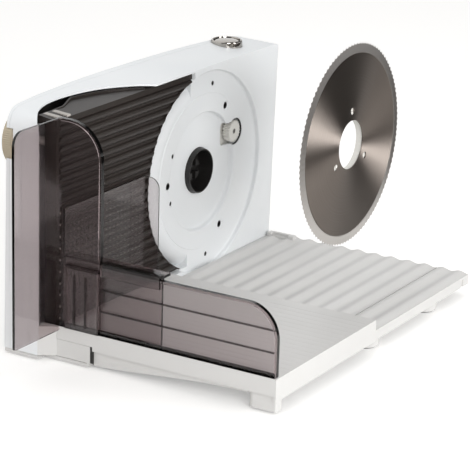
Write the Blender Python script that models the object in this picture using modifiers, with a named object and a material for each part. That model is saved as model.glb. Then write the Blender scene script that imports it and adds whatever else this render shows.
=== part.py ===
"""Electric food slicer with its blade taken off, as an assembly of separate solids.

Design frame: X = 0 is the face that carries the blade, Y = 0 and hub_z are the blade's axis,
+X points over the deck, +Y away from the operator, +Z up, Z = 0 is the table.
At the end every piece is shifted so that the origin is the bottom centre of the whole object.
"""

import math

import bmesh
import bpy
from mathutils import Matrix, Vector

# Clearances and overruns
gap = 0.0003
run_gap = 0.0006
over = 0.002
nudge = 0.0001
run_fit = 0.00008
weld = 0.000002

# Housing, in the design frame
wall = 0.0025
house_front_y = -0.260
house_back_y = 0.1315
house_left_x = -0.0505
side_lean = 0.0045
front_narrow = 0.0030
part_x = -0.0405
house_low_z = 0.0052
house_high_z = 0.240
back_lean = 0.0075
back_low_z = 0.022
corner_front_r = 0.016
corner_back_r = 0.005
face_edge_y = -0.0245
front_curve_y = -0.100
front_curve_x = -0.0110
roof_z = 0.2190
roof_lip = 0.0015
lens_start_y = -0.0900
lens_depth = 0.0300
edge_soft = 0.0018

# Round recess for the blade
hub_z = 0.1150
recess_r = 0.099
recess_depth = 0.0050
collar_r = 0.0765
collar_depth = 0.0045
dish_r = 0.0580
dish_depth = 0.0107
ramp_low_r = 0.0955
ramp_low_x = -0.0240
bore_r = 0.0229

# Pocket of the thickness plate
front_wall_t = 0.0100
pocket_front_y = house_front_y + front_wall_t
pocket_low_z = 0.0245
pocket_high_z = 0.2135
pocket_back_x = -0.0380

# Blade, taken off and held out in front of its seat
blade_d = 0.190
blade_t = 0.0012
blade_seat_x = -0.0012
blade_hole_r = 0.0230
blade_teeth = 112
blade_tooth_depth = 0.0009
blade_pin_circle_r = 0.0300
blade_pin_r = 0.0017
blade_pins = 3
blade_out_x = 0.1565
blade_out_z = 0.0530

# Gears
ring_module = 0.0010
ring_teeth = 108
pinion_teeth = 20
drive_angle = math.radians(25.3)
motor_module = 0.0008
wheel_teeth = 60
motor_teeth = 12
mesh_slack = 0.0003
addendum_share = 0.80
dedendum_share = 1.15
tooth_width_share = 0.42
flank_angle = math.radians(20)
ring_back_x = -0.0090
ring_height = -ring_back_x + blade_seat_x - blade_t - gap
pinion_front_x = -0.0052
pinion_back_x = -0.0125
shaft_r = 0.0025
wheel_front_x = -0.0150
wheel_back_x = -0.0195
motor_pinion_back_x = -0.0205
motor_shaft_r = 0.0015
motor_r = 0.0225
motor_front_x = -0.0240
motor_back_x = -0.0440
motor_angle = math.radians(-60)
bush_r = 0.0055
plate_t = 0.0020
bracket_front_x = wheel_back_x - 2 * plate_t / 3
bracket_back_x = motor_front_x + gap
opening_slack = 0.0035
lobe_front_y = 0.0290
lobe_back_y = 0.0500
lobe_low = 0.0160
lobe_high = 0.0400
lobe_corner_r = 0.0060

# Thickness plate
fence_x = -0.0030
fence_t = 0.0135
fence_skin = 0.0035
fence_end_gap = 0.0060
fence_front_y = pocket_front_y + fence_end_gap
fence_top_gap = 0.0013
fence_low_z = 0.0265
fence_high_z = 0.2105
fence_cut_r = 0.0965
fence_back_travel = 0.0120
guide_r = 0.0030
guide_y = -0.180
guide_low_z = 0.060
guide_high_z = 0.185
slider_half = 0.007
guide_reach = 0.0085

# Thickness knob
knob_r = 0.0270
knob_proud = 0.0030
knob_y = house_front_y - knob_proud + knob_r
knob_z = 0.1940
knob_out_x = -0.0470
knob_in_x = -0.0320
knob_grooves = 36
knob_groove_depth = 0.0006
cam_r = 0.0040

# Switch
switch_x = -0.0300
switch_y = 0.0800
switch_r = 0.0155
bezel_wall = 0.0026
bezel_up = 0.0042
button_up = 0.0046
button_travel = 0.0030
switch_body_side = 0.0200
switch_body_drop = 0.0210
switch_body_high = pocket_high_z - wall - gap
part_slack = 0.0080

# Base and guide rail
base_low_z = 0.0015
base_floor = 0.0030
base_right_x = 0.0380
block_high_z = 0.0195
block_back_y = -0.0900
arm_slot_x = 0.0034
arm_slot_end_y = -0.0690
rail_r = 0.0040
rail_x = 0.0150
rail_z = 0.0110
rail_front_y = -0.2560
rail_back_y = 0.1140
rear_wall_z = 0.0160

# Deck
deck_left_x = 0.0003
deck_right_x = 0.2235
deck_back_y = 0.1285
deck_front_y = -0.0880
deck_mid_z = 0.0212
deck_wave = 0.0010
deck_pitch = 0.0165
deck_t = 0.0028
deck_skirt_z = 0.0105
deck_flat = 0.0030
groove_x = 0.1895
groove_w = 0.0012
groove_depth = 0.0010
post_r = 0.0140
post_x = 0.2070
post_back_y = 0.0620
post_front_y = -0.0560
pad_r = 0.0110
pad_seat = 0.0012
lip_x = 0.0025
lip_end_x = 0.0330
lip_up = 0.0028
lip_w = 0.0080
lip_inset = 0.0045
notch_y = 0.1125
notch_w = 0.0050
notch_up = 0.0075
pad_places = (
    (house_left_x + 2 * pad_r, house_front_y + 3 * pad_r),
    (house_left_x + 2 * pad_r, house_back_y - 4 * pad_r),
    (post_x, post_back_y),
    (post_x, post_front_y),
)

# Carriage
tray_left_x = 0.0036
tray_right_x = 0.2268
tray_front_y = -0.2505
tray_back_y = -0.0726
tray_high_z = 0.0330
tray_t = 0.0030
tray_wall = 0.0026
tray_skirt_z = 0.0050
tray_band_z = 0.0170
tray_band_left_z = 0.0210
tray_foot_z = 0.0025
tray_foot_x = 0.1980
tray_foot_len = 0.0200
tray_slit_x = 0.0412
tray_cove = 0.0030
arch_left_z = 0.0030
arch_right_z = 0.0145
slider_len = 0.026
slider_y = -0.246
arm_left_x = 0.0008
arm_t = 0.0018
runner_w = 0.012
runner_len = 0.008

# Guard
panel_t = 0.0025
wing_front_y = -0.3160
wing_low_z = 0.0300
guard_high_z = 0.2220
tall_right_x = 0.0490
low_right_x = 0.2262
low_high_z = 0.0960
tall_corner_r = 0.034
low_corner_r = 0.030
wing_corner_r = 0.012
guard_left_x = 0.0040
guard_back_y = -0.2460
grip_x = 0.0125
grip_high_z = 0.0920
grip_depth = 0.0040

# Food holder
holder_left_x = 0.0072
holder_t = 0.0025
holder_far_y = -0.1210
holder_high_z = 0.1410
holder_low_z = 0.0365
holder_flange_x = 0.0245
holder_corner_r = 0.010
holder_right_x = 0.1100
holder_ledge_y = -0.2335
holder_lip_drop = 0.0110
ledge_high_z = low_high_z + gap + holder_t

# Fasteners and small parts
screw_r = 0.0015
screw_head_r = 0.0031
screw_head_t = 0.0016
screw_len = 0.0160
screw_inset = 0.0120
pad_high_z = 0.0030
inlet_r = 0.0070
inlet_z = 0.0300
inlet_x = -0.0300
inlet_proud = 0.0040
board_y = 0.0950
board_z = 0.0450
board_w = 0.0340
board_h = 0.0400
board_t = 0.0016
sleeve_in_r = 0.0205
sleeve_front_x = -0.0062
sleeve_taper = 0.0010
socket_front_x = -0.0240
key_w = 0.0060
key_len = 0.0125

# Round pieces' facets
fine = 96
round_steps = 36
small_steps = 20

white = (0.86, 0.87, 0.87)
smoke = (0.16, 0.12, 0.12)
black = (0.02, 0.02, 0.02)
dark_brown = (0.05, 0.04, 0.035)
steel = (0.62, 0.60, 0.58)
champagne = (0.55, 0.50, 0.42)

for old in list(bpy.data.objects):
    bpy.data.objects.remove(old)

slicer = bpy.data.collections.new("food_slicer")
bpy.context.scene.collection.children.link(slicer)


def placed(mesh):
    obj = bpy.data.objects.new("piece", mesh)
    slicer.objects.link(obj)
    return obj


def welded(mesh):
    bm = bmesh.new()
    bm.from_mesh(mesh)
    bmesh.ops.remove_doubles(bm, verts=bm.verts, dist=weld)
    bmesh.ops.dissolve_degenerate(bm, edges=bm.edges, dist=weld)
    bm.to_mesh(mesh)
    bm.free()
    return mesh


def settled(obj):
    """Replaces an object by its evaluated mesh, with doubles welded, in world space."""
    graph = bpy.context.evaluated_depsgraph_get()
    mesh = bpy.data.meshes.new_from_object(obj.evaluated_get(graph))
    mesh.transform(obj.matrix_world)
    bpy.data.objects.remove(obj)
    return placed(welded(mesh))


def box(low, high):
    size = [high[i] - low[i] for i in range(3)]
    middle = [(high[i] + low[i]) / 2 for i in range(3)]
    mesh = bpy.data.meshes.new("box")
    bm = bmesh.new()
    place = Matrix.Translation(middle) @ Matrix.Diagonal((*size, 1.0))
    bmesh.ops.create_cube(bm, size=1.0, matrix=place)
    bm.to_mesh(mesh)
    bm.free()
    return placed(mesh)


turn_to = {
    "x": Matrix.Rotation(math.pi / 2, 4, "Y"),
    "y": Matrix.Rotation(-math.pi / 2, 4, "X"),
    "z": Matrix.Identity(4),
}

def rod(axis, centre, low, high, radius, steps, radius_high=None):
    """A cylinder or cone along an axis, from low to high on it, through centre."""
    middle = list(centre)
    middle["xyz".index(axis)] = (low + high) / 2
    mesh = bpy.data.meshes.new("rod")
    bm = bmesh.new()
    bmesh.ops.create_cone(
        bm,
        cap_ends=True,
        segments=steps,
        radius1=radius,
        radius2=radius if radius_high is None else radius_high,
        depth=high - low,
        matrix=Matrix.Translation(middle) @ turn_to[axis],
    )
    bm.to_mesh(mesh)
    bm.free()
    return placed(mesh)


def turned(axis, centre, profile, steps):
    """A solid of revolution. The profile is (radius, height) from top to bottom down the outer side."""
    mesh = bpy.data.meshes.new("profile")
    bm = bmesh.new()
    verts = [bm.verts.new((radius, 0.0, height)) for radius, height in profile]
    for first, second in zip(verts, verts[1:]):
        bm.edges.new((first, second))
    if profile[0][0] > 0.0:
        bm.edges.new((verts[-1], verts[0]))
    bm.to_mesh(mesh)
    bm.free()
    obj = placed(mesh)
    screw = obj.modifiers.new("turn", "SCREW")
    screw.steps = steps
    screw.render_steps = steps
    screw.use_merge_vertices = True
    screw.merge_threshold = weld
    screw.use_normal_calculate = False
    obj.matrix_world = Matrix.Translation(centre) @ turn_to[axis]
    bpy.context.view_layer.update()
    return settled(obj)


plane_to = {
    "x": Matrix(((0, 0, 1, 0), (1, 0, 0, 0), (0, 1, 0, 0), (0, 0, 0, 1))),
    "y": Matrix(((1, 0, 0, 0), (0, 0, -1, 0), (0, 1, 0, 0), (0, 0, 0, 1))),
    "z": Matrix.Identity(4),
}


def prism(axis, low, high, outline, far_outline=None):
    """A solid between an outline and its copy, or another outline with as many points."""
    mesh = bpy.data.meshes.new("prism")
    bm = bmesh.new()
    low, high = (-high, -low) if axis == "y" else (low, high)
    floor = [bm.verts.new((u, v, low)) for u, v in outline]
    roof = [bm.verts.new((u, v, high)) for u, v in far_outline or outline]
    bm.faces.new(list(reversed(floor)))
    bm.faces.new(roof)
    for i in range(len(outline)):
        after = (i + 1) % len(outline)
        bm.faces.new((floor[i], floor[after], roof[after], roof[i]))
    bmesh.ops.transform(bm, matrix=plane_to[axis], verts=bm.verts)
    bmesh.ops.recalc_face_normals(bm, faces=bm.faces)
    bm.to_mesh(mesh)
    bm.free()
    return placed(mesh)


def plate(axis, low, high, outline, holes=()):
    """A flat outline made thick from low to high. Its points are YZ, XZ or XY pairs."""
    if not holes:
        return prism(axis, low, high, outline)
    curve = bpy.data.curves.new("outline", "CURVE")
    curve.dimensions = "2D"
    curve.fill_mode = "BOTH"
    curve.extrude = (high - low) / 2
    for loop in (outline, *holes):
        spline = curve.splines.new("POLY")
        spline.points.add(len(loop) - 1)
        for point, (u, v) in zip(spline.points, loop):
            point.co = (u, v, 0.0, 1.0)
        spline.use_cyclic_u = True
    obj = bpy.data.objects.new("outline", curve)
    slicer.objects.link(obj)
    middle = [0.0, 0.0, 0.0]
    middle["xyz".index(axis)] = (low + high) / 2
    obj.matrix_world = Matrix.Translation(middle) @ plane_to[axis]
    bpy.context.view_layer.update()
    return settled(obj)


def combined(obj, others, operation):
    for other in others:
        modifier = obj.modifiers.new("shape", "BOOLEAN")
        modifier.operation = operation
        modifier.solver = "EXACT"
        modifier.object = other
        graph = bpy.context.evaluated_depsgraph_get()
        mesh = bpy.data.meshes.new_from_object(obj.evaluated_get(graph))
        obj.modifiers.clear()
        obj.data = welded(mesh)
        bpy.data.objects.remove(other)
    return obj


def cut(obj, *others):
    return combined(obj, others, "DIFFERENCE")


def joined(obj, *others):
    return combined(obj, others, "UNION")


def softened(obj, width, steps=2, angle=math.radians(40)):
    modifier = obj.modifiers.new("soft", "BEVEL")
    modifier.width = width
    modifier.segments = steps
    modifier.limit_method = "ANGLE"
    modifier.angle_limit = angle
    modifier.harden_normals = False
    return settled(obj)


def finish(obj, name, colour, roughness, metallic=0.0, pivot=(0.0, 0.0, 0.0)):
    """Names a piece, gives it its material and puts its origin on its joint."""
    obj.name = name
    obj.data.name = name
    obj.data.transform(Matrix.Translation(-Vector(pivot)))
    obj.location = Vector(pivot)
    material = bpy.data.materials.new(name)
    material.use_nodes = True
    shader = material.node_tree.nodes["Principled BSDF"]
    shader.inputs["Base Color"].default_value = (*colour, 1.0)
    shader.inputs["Roughness"].default_value = roughness
    shader.inputs["Metallic"].default_value = metallic
    obj.data.materials.clear()
    obj.data.materials.append(material)
    obj.data.shade_smooth()
    obj.data.set_sharp_from_angle(angle=math.radians(30))
    return obj


def centre_on_base():
    """Moves every piece so that the origin is the bottom centre of the whole object."""
    corners = []
    for piece in slicer.objects:
        corners += [piece.location + vert.co for vert in piece.data.vertices]
    middle = [(min(c[i] for c in corners) + max(c[i] for c in corners)) / 2 for i in range(2)]
    floor = min(c.z for c in corners)
    for piece in slicer.objects:
        piece.location -= Vector((*middle, floor))


def arc(centre, radius, start, end, steps):
    """Points on a circle from start to end, in radians."""
    points = []
    for i in range(steps + 1):
        angle = start + (end - start) * i / steps
        points.append((centre[0] + radius * math.cos(angle), centre[1] + radius * math.sin(angle)))
    return points


def circle(centre, radius, steps):
    return arc(centre, radius, 0.0, math.tau * (steps - 1) / steps, steps - 1)


def gear(teeth, module, centre, phase):
    """Outline of a spur gear with straight flanks. Phase is the angle of its first tooth."""
    pitch_r = module * teeth / 2
    half = math.pi * module / 2 * tooth_width_share
    rises = ((-dedendum_share, 1), (addendum_share, 1), (addendum_share, -1), (-dedendum_share, -1))
    points = []
    for i in range(teeth):
        middle = phase + math.tau * i / teeth
        for rise_share, side in rises:
            radius = pitch_r + rise_share * module
            reach = half - rise_share * module * math.tan(flank_angle)
            angle = middle - side * reach / radius
            points.append((centre[0] + radius * math.cos(angle), centre[1] + radius * math.sin(angle)))
    return points


# Places that several pieces share
ring_pitch_r = ring_module * ring_teeth / 2
pinion_pitch_r = ring_module * pinion_teeth / 2
drive_reach = ring_pitch_r + pinion_pitch_r + mesh_slack
drive_y = drive_reach * math.cos(drive_angle)
drive_z = hub_z + drive_reach * math.sin(drive_angle)
wheel_pitch_r = motor_module * wheel_teeth / 2
motor_pitch_r = motor_module * motor_teeth / 2
motor_reach = wheel_pitch_r + motor_pitch_r + mesh_slack
motor_y = drive_y + motor_reach * math.cos(motor_angle)
motor_z = drive_z + motor_reach * math.sin(motor_angle)
hub = (0.0, 0.0, hub_z)
drive = (0.0, drive_y, drive_z)
motor = (0.0, motor_y, motor_z)
screw_places = (
    (house_front_y + screw_inset / 2, house_low_z + screw_inset),
    (house_front_y + screw_inset / 2, knob_z - knob_r - screw_inset),
    (house_back_y - back_lean - screw_inset, house_low_z + screw_inset),
    (house_back_y - back_lean - screw_inset, pocket_high_z - screw_inset),
)
face_hole_places = ((0.0402, 0.0572), (0.0345, -0.0621), (-0.0603, -0.0015))
pin_hole_places = ((0.0149, 0.0844), (-0.0542, 0.0268), (-0.0563, -0.0192), (0.0093, -0.0864))
face_hole_r = 0.0028
pin_hole_r = 0.0015


# Along the top from front to back: place, height at the right edge, height at the left edge
roof_shares = (
    (0.041, 0.984, 1.037),
    (0.133, 0.993, 1.046),
    (0.281, 0.998, 1.051),
    (0.434, 1.000, 1.051),
    (0.595, 1.001, 1.048),
    (0.792, 1.002, 1.037),
    (0.932, 1.001, 1.021),
    (0.987, 0.998, 1.006),
)
# Inner edge of the top over the thickness plate: place along it, share of its depth
lens_shares = (
    (0.000, 0.00),
    (0.098, 0.29),
    (0.230, 0.56),
    (0.362, 0.77),
    (0.520, 0.92),
    (0.690, 1.00),
    (0.830, 0.98),
    (0.920, 0.86),
    (0.975, 0.66),
    (1.000, 0.38),
)


def flowing(points, steps):
    """Points on a smooth curve through the given ones."""
    curve = []
    last = len(points) - 1
    for i in range(last):
        before, here, after, beyond = (points[max(0, min(last, i + k))] for k in (-1, 0, 1, 2))
        for j in range(steps):
            t = j / steps
            spot = []
            for a, b, c, d in zip(before, here, after, beyond):
                bend = (2 * a - 5 * b + 4 * c - d) * t * t + (3 * b - a - 3 * c + d) * t * t * t
                spot.append((2 * b + (c - a) * t + bend) / 2)
            curve.append(tuple(spot))
    curve.append(points[last])
    return curve


def roof_at(x, y):
    """Height of the top at a place, before its ends are rounded."""
    along = (y - house_front_y) / (house_back_y - house_front_y)
    across = x / house_left_x
    for first, second in zip(roof_shares, roof_shares[1:]):
        if along <= second[0]:
            break
    share = (along - first[0]) / (second[0] - first[0])
    right, left = (first[k] + (second[k] - first[k]) * share for k in (1, 2))
    return roof_z * (right + (left - right) * across)


def roof_outline(column, lower, back_r):
    """Outline of the space above the top, seen from the side, at its right or its left edge."""
    reach = house_back_y - house_front_y
    line = [(house_front_y + reach * row[0], roof_z * row[column] - lower) for row in roof_shares]
    line = flowing(line, 3)
    front = (line[0][0], line[0][1] - corner_front_r)
    corner = arc(front, corner_front_r, math.pi, math.pi / 2, small_steps // 2)
    back = (line[-1][0], line[-1][1] - back_r)
    end = arc(back, back_r, math.pi / 2, 0.0, small_steps // 4)
    high = house_high_z + reach
    points = [(house_front_y - reach, high), (house_front_y - reach, front[1]), *corner]
    points += line[1:-1]
    points += end
    points += [(house_back_y + reach, back[1]), (house_back_y + reach, high)]
    return list(reversed(points))


def roof_cutter(lower=0.0):
    """Everything above the sloping, slightly arched top of the housing."""
    left = roof_outline(2, lower, corner_back_r)
    right = roof_outline(1, lower, corner_back_r)
    return prism("x", house_left_x, nudge, left, right)


def left_face_x(y, z):
    """The left side leans in towards the top and narrows towards the front."""
    share = max(0.0, (front_curve_y - y) / (front_curve_y - house_front_y))
    return house_left_x + side_lean * z / house_high_z + front_narrow * share * share


def left_cutter(inset):
    """Everything to the left of the leaning left side, or of a wall behind it."""
    points = []
    for i in range(small_steps + 1):
        y = front_curve_y + (house_front_y - over - front_curve_y) * i / small_steps
        points.append((left_face_x(y, 0.0) + inset, y))
    reach = house_back_y - house_front_y
    points += [(house_left_x - reach, house_front_y - over), (house_left_x - reach, house_back_y + over)]
    points.append((left_face_x(house_back_y, 0.0) + inset, house_back_y + over))
    low = plate("z", 0.0, house_high_z, points)
    lean = Matrix.Identity(4)
    lean[0][2] = side_lean / house_high_z
    low.data.transform(lean)
    return low


def side_outline():
    """The housing seen from the side, as YZ points, anticlockwise."""
    points = [(house_front_y, house_low_z), (house_back_y - back_lean, house_low_z)]
    points.append((house_back_y - back_lean, back_low_z))
    points.append((house_back_y, house_high_z))
    points.append((house_front_y, house_high_z))
    return points


def housing_block(left_x, right_x):
    """Part of the housing's outer form between two planes."""
    block = plate("x", left_x, right_x, side_outline())
    cut(block, roof_cutter())
    return block


def front_curve_cutter():
    """Lets the right side of the housing curve away in front of the face."""
    start = front_curve_y
    end = house_front_y - over
    points = []
    for i in range(small_steps + 1):
        share = i / small_steps
        y = start + (end - start) * share
        points.append((front_curve_x * math.sin(share * math.pi / 2), y))
    points.append((over, end))
    points.append((over, start))
    return plate("z", -over, house_high_z + over, points)


def lens_cutter():
    """Takes the top away over the thickness plate, up to its curved inner edge."""
    reach = pocket_front_y - lens_start_y
    line = [(-lens_depth * out, lens_start_y + reach * along) for along, out in lens_shares]
    points = flowing(line, 4)
    points.append((over, pocket_front_y))
    points.append((over, lens_start_y))
    return plate("z", pocket_high_z - 2 * wall, house_high_z + over, points)


switch_top_z = roof_at(switch_x, switch_y)
switch_seat_z = roof_at(switch_x + switch_r, switch_y + switch_r) - run_gap


def lobe_outline():
    """Rounded opening beside the pinion's, as YZ points."""
    low = (lobe_front_y + lobe_corner_r, hub_z + lobe_low + lobe_corner_r)
    high = (lobe_back_y - lobe_corner_r, hub_z + lobe_high - lobe_corner_r)
    quarter = math.pi / 2
    points = []
    for turn, spot in enumerate((high, (low[0], high[1]), low, (high[0], low[1]))):
        points += arc(spot, lobe_corner_r, quarter * turn, quarter * (turn + 1), small_steps // 4)
    return points


def make_main_housing():
    """The shell with the face, the blade's round recess and the plate's pocket."""
    shell = housing_block(part_x, 0.0)
    cut(shell, front_curve_cutter())
    shell = softened(shell, edge_soft)
    # pocket of the thickness plate, up to the thin lip of the top
    pocket = box((pocket_back_x, pocket_front_y, pocket_low_z), (over, face_edge_y, house_high_z))
    cut(pocket, roof_cutter(roof_lip))
    cut(shell, pocket, lens_cutter())
    # hollow behind the face, open to the side cover
    inner_back_y = house_back_y - back_lean - wall
    hollow = box(
        (part_x - over, face_edge_y + wall, house_low_z + wall),
        (-dish_depth - wall, inner_back_y, pocket_high_z - wall),
    )
    cut(shell, hollow)
    # round support of the blade, with the ramp that leads slices away
    support_r = collar_r - gap
    support_profile = [
        (0.0, -collar_depth / 2),
        (support_r, -collar_depth / 2),
        (support_r, -recess_depth - gap),
        (ramp_low_r, ramp_low_x),
        (ramp_low_r, pocket_back_x - wall / 2),
        (0.0, pocket_back_x - wall / 2),
    ]
    support = turned("x", hub, support_profile, fine)
    keep_left = box((part_x - over, -recess_r, 0.0), (over, face_edge_y + wall / 2, house_high_z))
    combined(support, [keep_left], "INTERSECT")
    cut(support, box((part_x, -recess_r, 0.0), (over, over, pocket_low_z - gap)))
    joined(shell, support)
    # lightening hollow behind the support
    hollow_profile = [
        (0.0, -dish_depth - wall - gap),
        (collar_r - wall, -dish_depth - wall - gap),
        (collar_r - wall, part_x - over),
        (0.0, part_x - over),
    ]
    behind = turned("x", hub, hollow_profile, round_steps)
    cut(behind, box((part_x - 2 * over, -recess_r, 0.0), (over, recess_r, pocket_low_z + wall)))
    cut(shell, behind)
    # recess, collar and dish, cut from the face as one stepped form
    recess_profile = [
        (0.0, over),
        (recess_r, over),
        (recess_r, -recess_depth),
        (collar_r, -recess_depth),
        (collar_r, -collar_depth),
        (dish_r, -collar_depth),
        (dish_r, -dish_depth),
        (0.0, -dish_depth),
    ]
    cut(shell, turned("x", hub, recess_profile, fine))
    # boss of the bore, then the bore itself
    boss = rod("x", hub, socket_front_x - wall, -dish_depth - wall / 2, bore_r + wall, round_steps)
    joined(shell, boss)
    cut(shell, rod("x", hub, socket_front_x, over, bore_r, fine))
    # opening round the drive pinion, with a lobe towards the hub
    opening_r = pinion_pitch_r + opening_slack
    cut(shell, rod("x", drive, -dish_depth - 2 * wall, over, opening_r, round_steps))
    cut(shell, plate("x", -dish_depth - 2 * wall - nudge, over + nudge, lobe_outline()))
    # small holes in the recess
    for y, up in face_hole_places:
        cut(shell, rod("x", (0.0, y, hub_z + up), part_x - over, over, face_hole_r, small_steps))
    for y, up in pin_hole_places:
        cut(shell, rod("x", (0.0, y, hub_z + up), -dish_depth - over, over, pin_hole_r, small_steps // 2))
    # bosses for the cover's screws, at the back
    for y, z in screw_places[2:]:
        joined(shell, rod("x", (0.0, y, z), part_x, -dish_depth - wall, screw_head_r, small_steps))
    for y, z in screw_places:
        hole_end = left_face_x(y, z) + screw_head_t + screw_len + over / 2
        cut(shell, rod("x", (0.0, y, z), part_x - over, hole_end, screw_r + gap, small_steps))
    # switch opening and its well, cord inlet hole, guide bores, shaft bore of the knob
    switch_at = (switch_x, switch_y, 0.0)
    cut(shell, rod("z", switch_at, pocket_high_z - 2 * wall, house_high_z, switch_r - bezel_wall, round_steps))
    cut(shell, rod("z", switch_at, switch_seat_z, house_high_z, switch_r + gap, fine // 2))
    inlet_at = (inlet_x, 0.0, inlet_z)
    cut(shell, rod("y", inlet_at, inner_back_y - over, house_back_y + over, inlet_r, small_steps))
    for z in (guide_low_z, guide_high_z):
        cut(shell, rod("x", (0.0, guide_y, z), part_x - over, over, guide_r + run_fit, small_steps))
    knob_at = (0.0, knob_y, knob_z)
    cup_r = knob_r + run_gap + wall
    cup = rod("x", knob_at, pocket_back_x - wall / 2, knob_in_x + gap + wall, cup_r, round_steps)
    corner_low = (pocket_back_x - wall / 4, pocket_front_y - wall / 2, knob_z)
    joined(cup, box(corner_low, (knob_in_x + wall, knob_y, knob_z + cup_r - nudge)))
    cut(cup, roof_cutter(roof_lip / 2))
    cut(cup, box((part_x, house_front_y - cup_r, 0.0), (over, house_front_y + wall, house_high_z)))
    joined(shell, cup)
    cut(shell, rod("x", knob_at, part_x - over, knob_in_x + gap, knob_r + run_gap, fine // 2))
    cut(shell, rod("x", knob_at, part_x - over, knob_in_x + over + wall, cam_r + run_fit, small_steps))
    return finish(shell, "main_housing", white, 0.35)


def make_side_cover():
    """The left shell, a shallow tray that closes the housing."""
    cover = housing_block(house_left_x, part_x - gap)
    cut(cover, left_cutter(0.0))
    cover = softened(cover, edge_soft)
    middle_z = (pocket_high_z + house_low_z) / 2
    hollow = box(
        (house_left_x + wall, pocket_front_y, house_low_z + wall),
        (part_x + over, house_back_y - back_lean - wall, pocket_high_z),
    )
    knob_at = (0.0, knob_y, knob_z)
    keep_off = rod("x", knob_at, house_left_x - over, part_x + over * 2, knob_r + 2 * wall, round_steps)
    cut(hollow, keep_off, left_cutter(wall))
    cut(cover, hollow)
    for y, z in screw_places:
        boss_end = part_x - 2 * gap
        boss_r = screw_head_r + wall / 2
        boss_low = left_face_x(y, z) + wall / 2
        joined(cover, rod("x", (0.0, y, z), boss_low, boss_end, boss_r, small_steps))
    for y, z in screw_places:
        cut(cover, rod("x", (0.0, y, z), house_left_x - over, part_x, screw_r + gap, small_steps))
        head_x = left_face_x(y, z) + screw_head_t + gap
        cut(cover, rod("x", (0.0, y, z), house_left_x - over, head_x, screw_head_r + gap, small_steps))
    # well of the knob, open at the front edge
    cut(cover, rod("x", knob_at, house_left_x - over, part_x + over, knob_r + run_gap, fine // 2))
    # the switch's seat and well reach into this shell too
    switch_at = (switch_x, switch_y, 0.0)
    cut(cover, rod("z", switch_at, switch_seat_z, house_high_z, switch_r + gap, fine // 2))
    cut(cover, rod("z", switch_at, pocket_high_z - over, house_high_z, switch_r - bezel_wall, round_steps))
    # vent of the motor, a row of slots
    slot_h = 0.0022
    slots = 6
    slot_step = 0.0060
    for i in range(slots):
        low = middle_z - slots * slot_step / 2 + i * slot_step
        deep_x = left_face_x(motor_y, low) + wall + over / 2
        slot_low = (house_left_x - over, motor_y - motor_r / 2, low)
        cut(cover, box(slot_low, (deep_x, motor_y + motor_r / 2, low + slot_h)))
    return finish(cover, "side_cover", white, 0.38)


def make_base():
    """The floor under the housing, with the channel of the guide rail at its right."""
    left = house_left_x + over / 2
    back = deck_back_y - gap
    base = box((left, house_front_y, base_low_z), (base_right_x, back, house_low_z - gap))
    block = box((arm_slot_x, house_front_y, base_low_z), (base_right_x, block_back_y, block_high_z))
    joined(base, block)
    rear_wall = box((arm_slot_x, rail_back_y - over, base_low_z), (base_right_x, back, rear_wall_z))
    joined(base, rear_wall)
    cut(base, left_cutter(over / 2))
    channel = box(
        (arm_slot_x - over, house_front_y + 3 * wall, base_low_z + base_floor),
        (base_right_x - wall, block_back_y + over, block_high_z - wall / 2),
    )
    cut(base, channel)
    rail_at = (rail_x, 0.0, rail_z)
    cut(base, rod("y", rail_at, rail_front_y - gap, rail_back_y + gap, rail_r + run_fit, round_steps))
    for x, y in pad_places[:2]:
        cut(base, rod("z", (x, y, 0.0), -over, pad_high_z + gap, pad_r + gap, round_steps))
    return finish(base, "base_plate", white, 0.4)


def make_rail():
    rail = rod("y", (rail_x, 0.0, rail_z), rail_front_y, rail_back_y, rail_r, round_steps)
    return finish(rail, "carriage_rail", steel, 0.25, 1.0)


def make_pads():
    names = ("foot_front_left", "foot_back_left", "foot_back_right", "foot_front_right")
    for name, (x, y) in zip(names, pad_places):
        pad = rod("z", (x, y, 0.0), 0.0, pad_high_z, pad_r, round_steps)
        finish(pad, name, (0.55, 0.55, 0.55), 0.8)


def deck_outline():
    """Section of the corrugated deck, as XZ points, with the skirt at the right."""
    count = round((deck_right_x - deck_flat - deck_left_x) / deck_pitch)
    pitch = (deck_right_x - deck_flat - deck_left_x) / count
    steps = count * 10
    top = []
    for i in range(steps + 1):
        x = deck_left_x + pitch * count * i / steps
        top.append((x, deck_mid_z - deck_wave * math.cos(math.tau * i * count / steps)))
    low = deck_mid_z - deck_wave - deck_t
    points = [(deck_left_x, low)]
    points += top
    points.append((deck_right_x, deck_mid_z - deck_wave))
    points.append((deck_right_x, deck_skirt_z))
    points.append((deck_right_x - deck_t, deck_skirt_z))
    points.append((deck_right_x - deck_t, low))
    return list(reversed(points))


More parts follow.
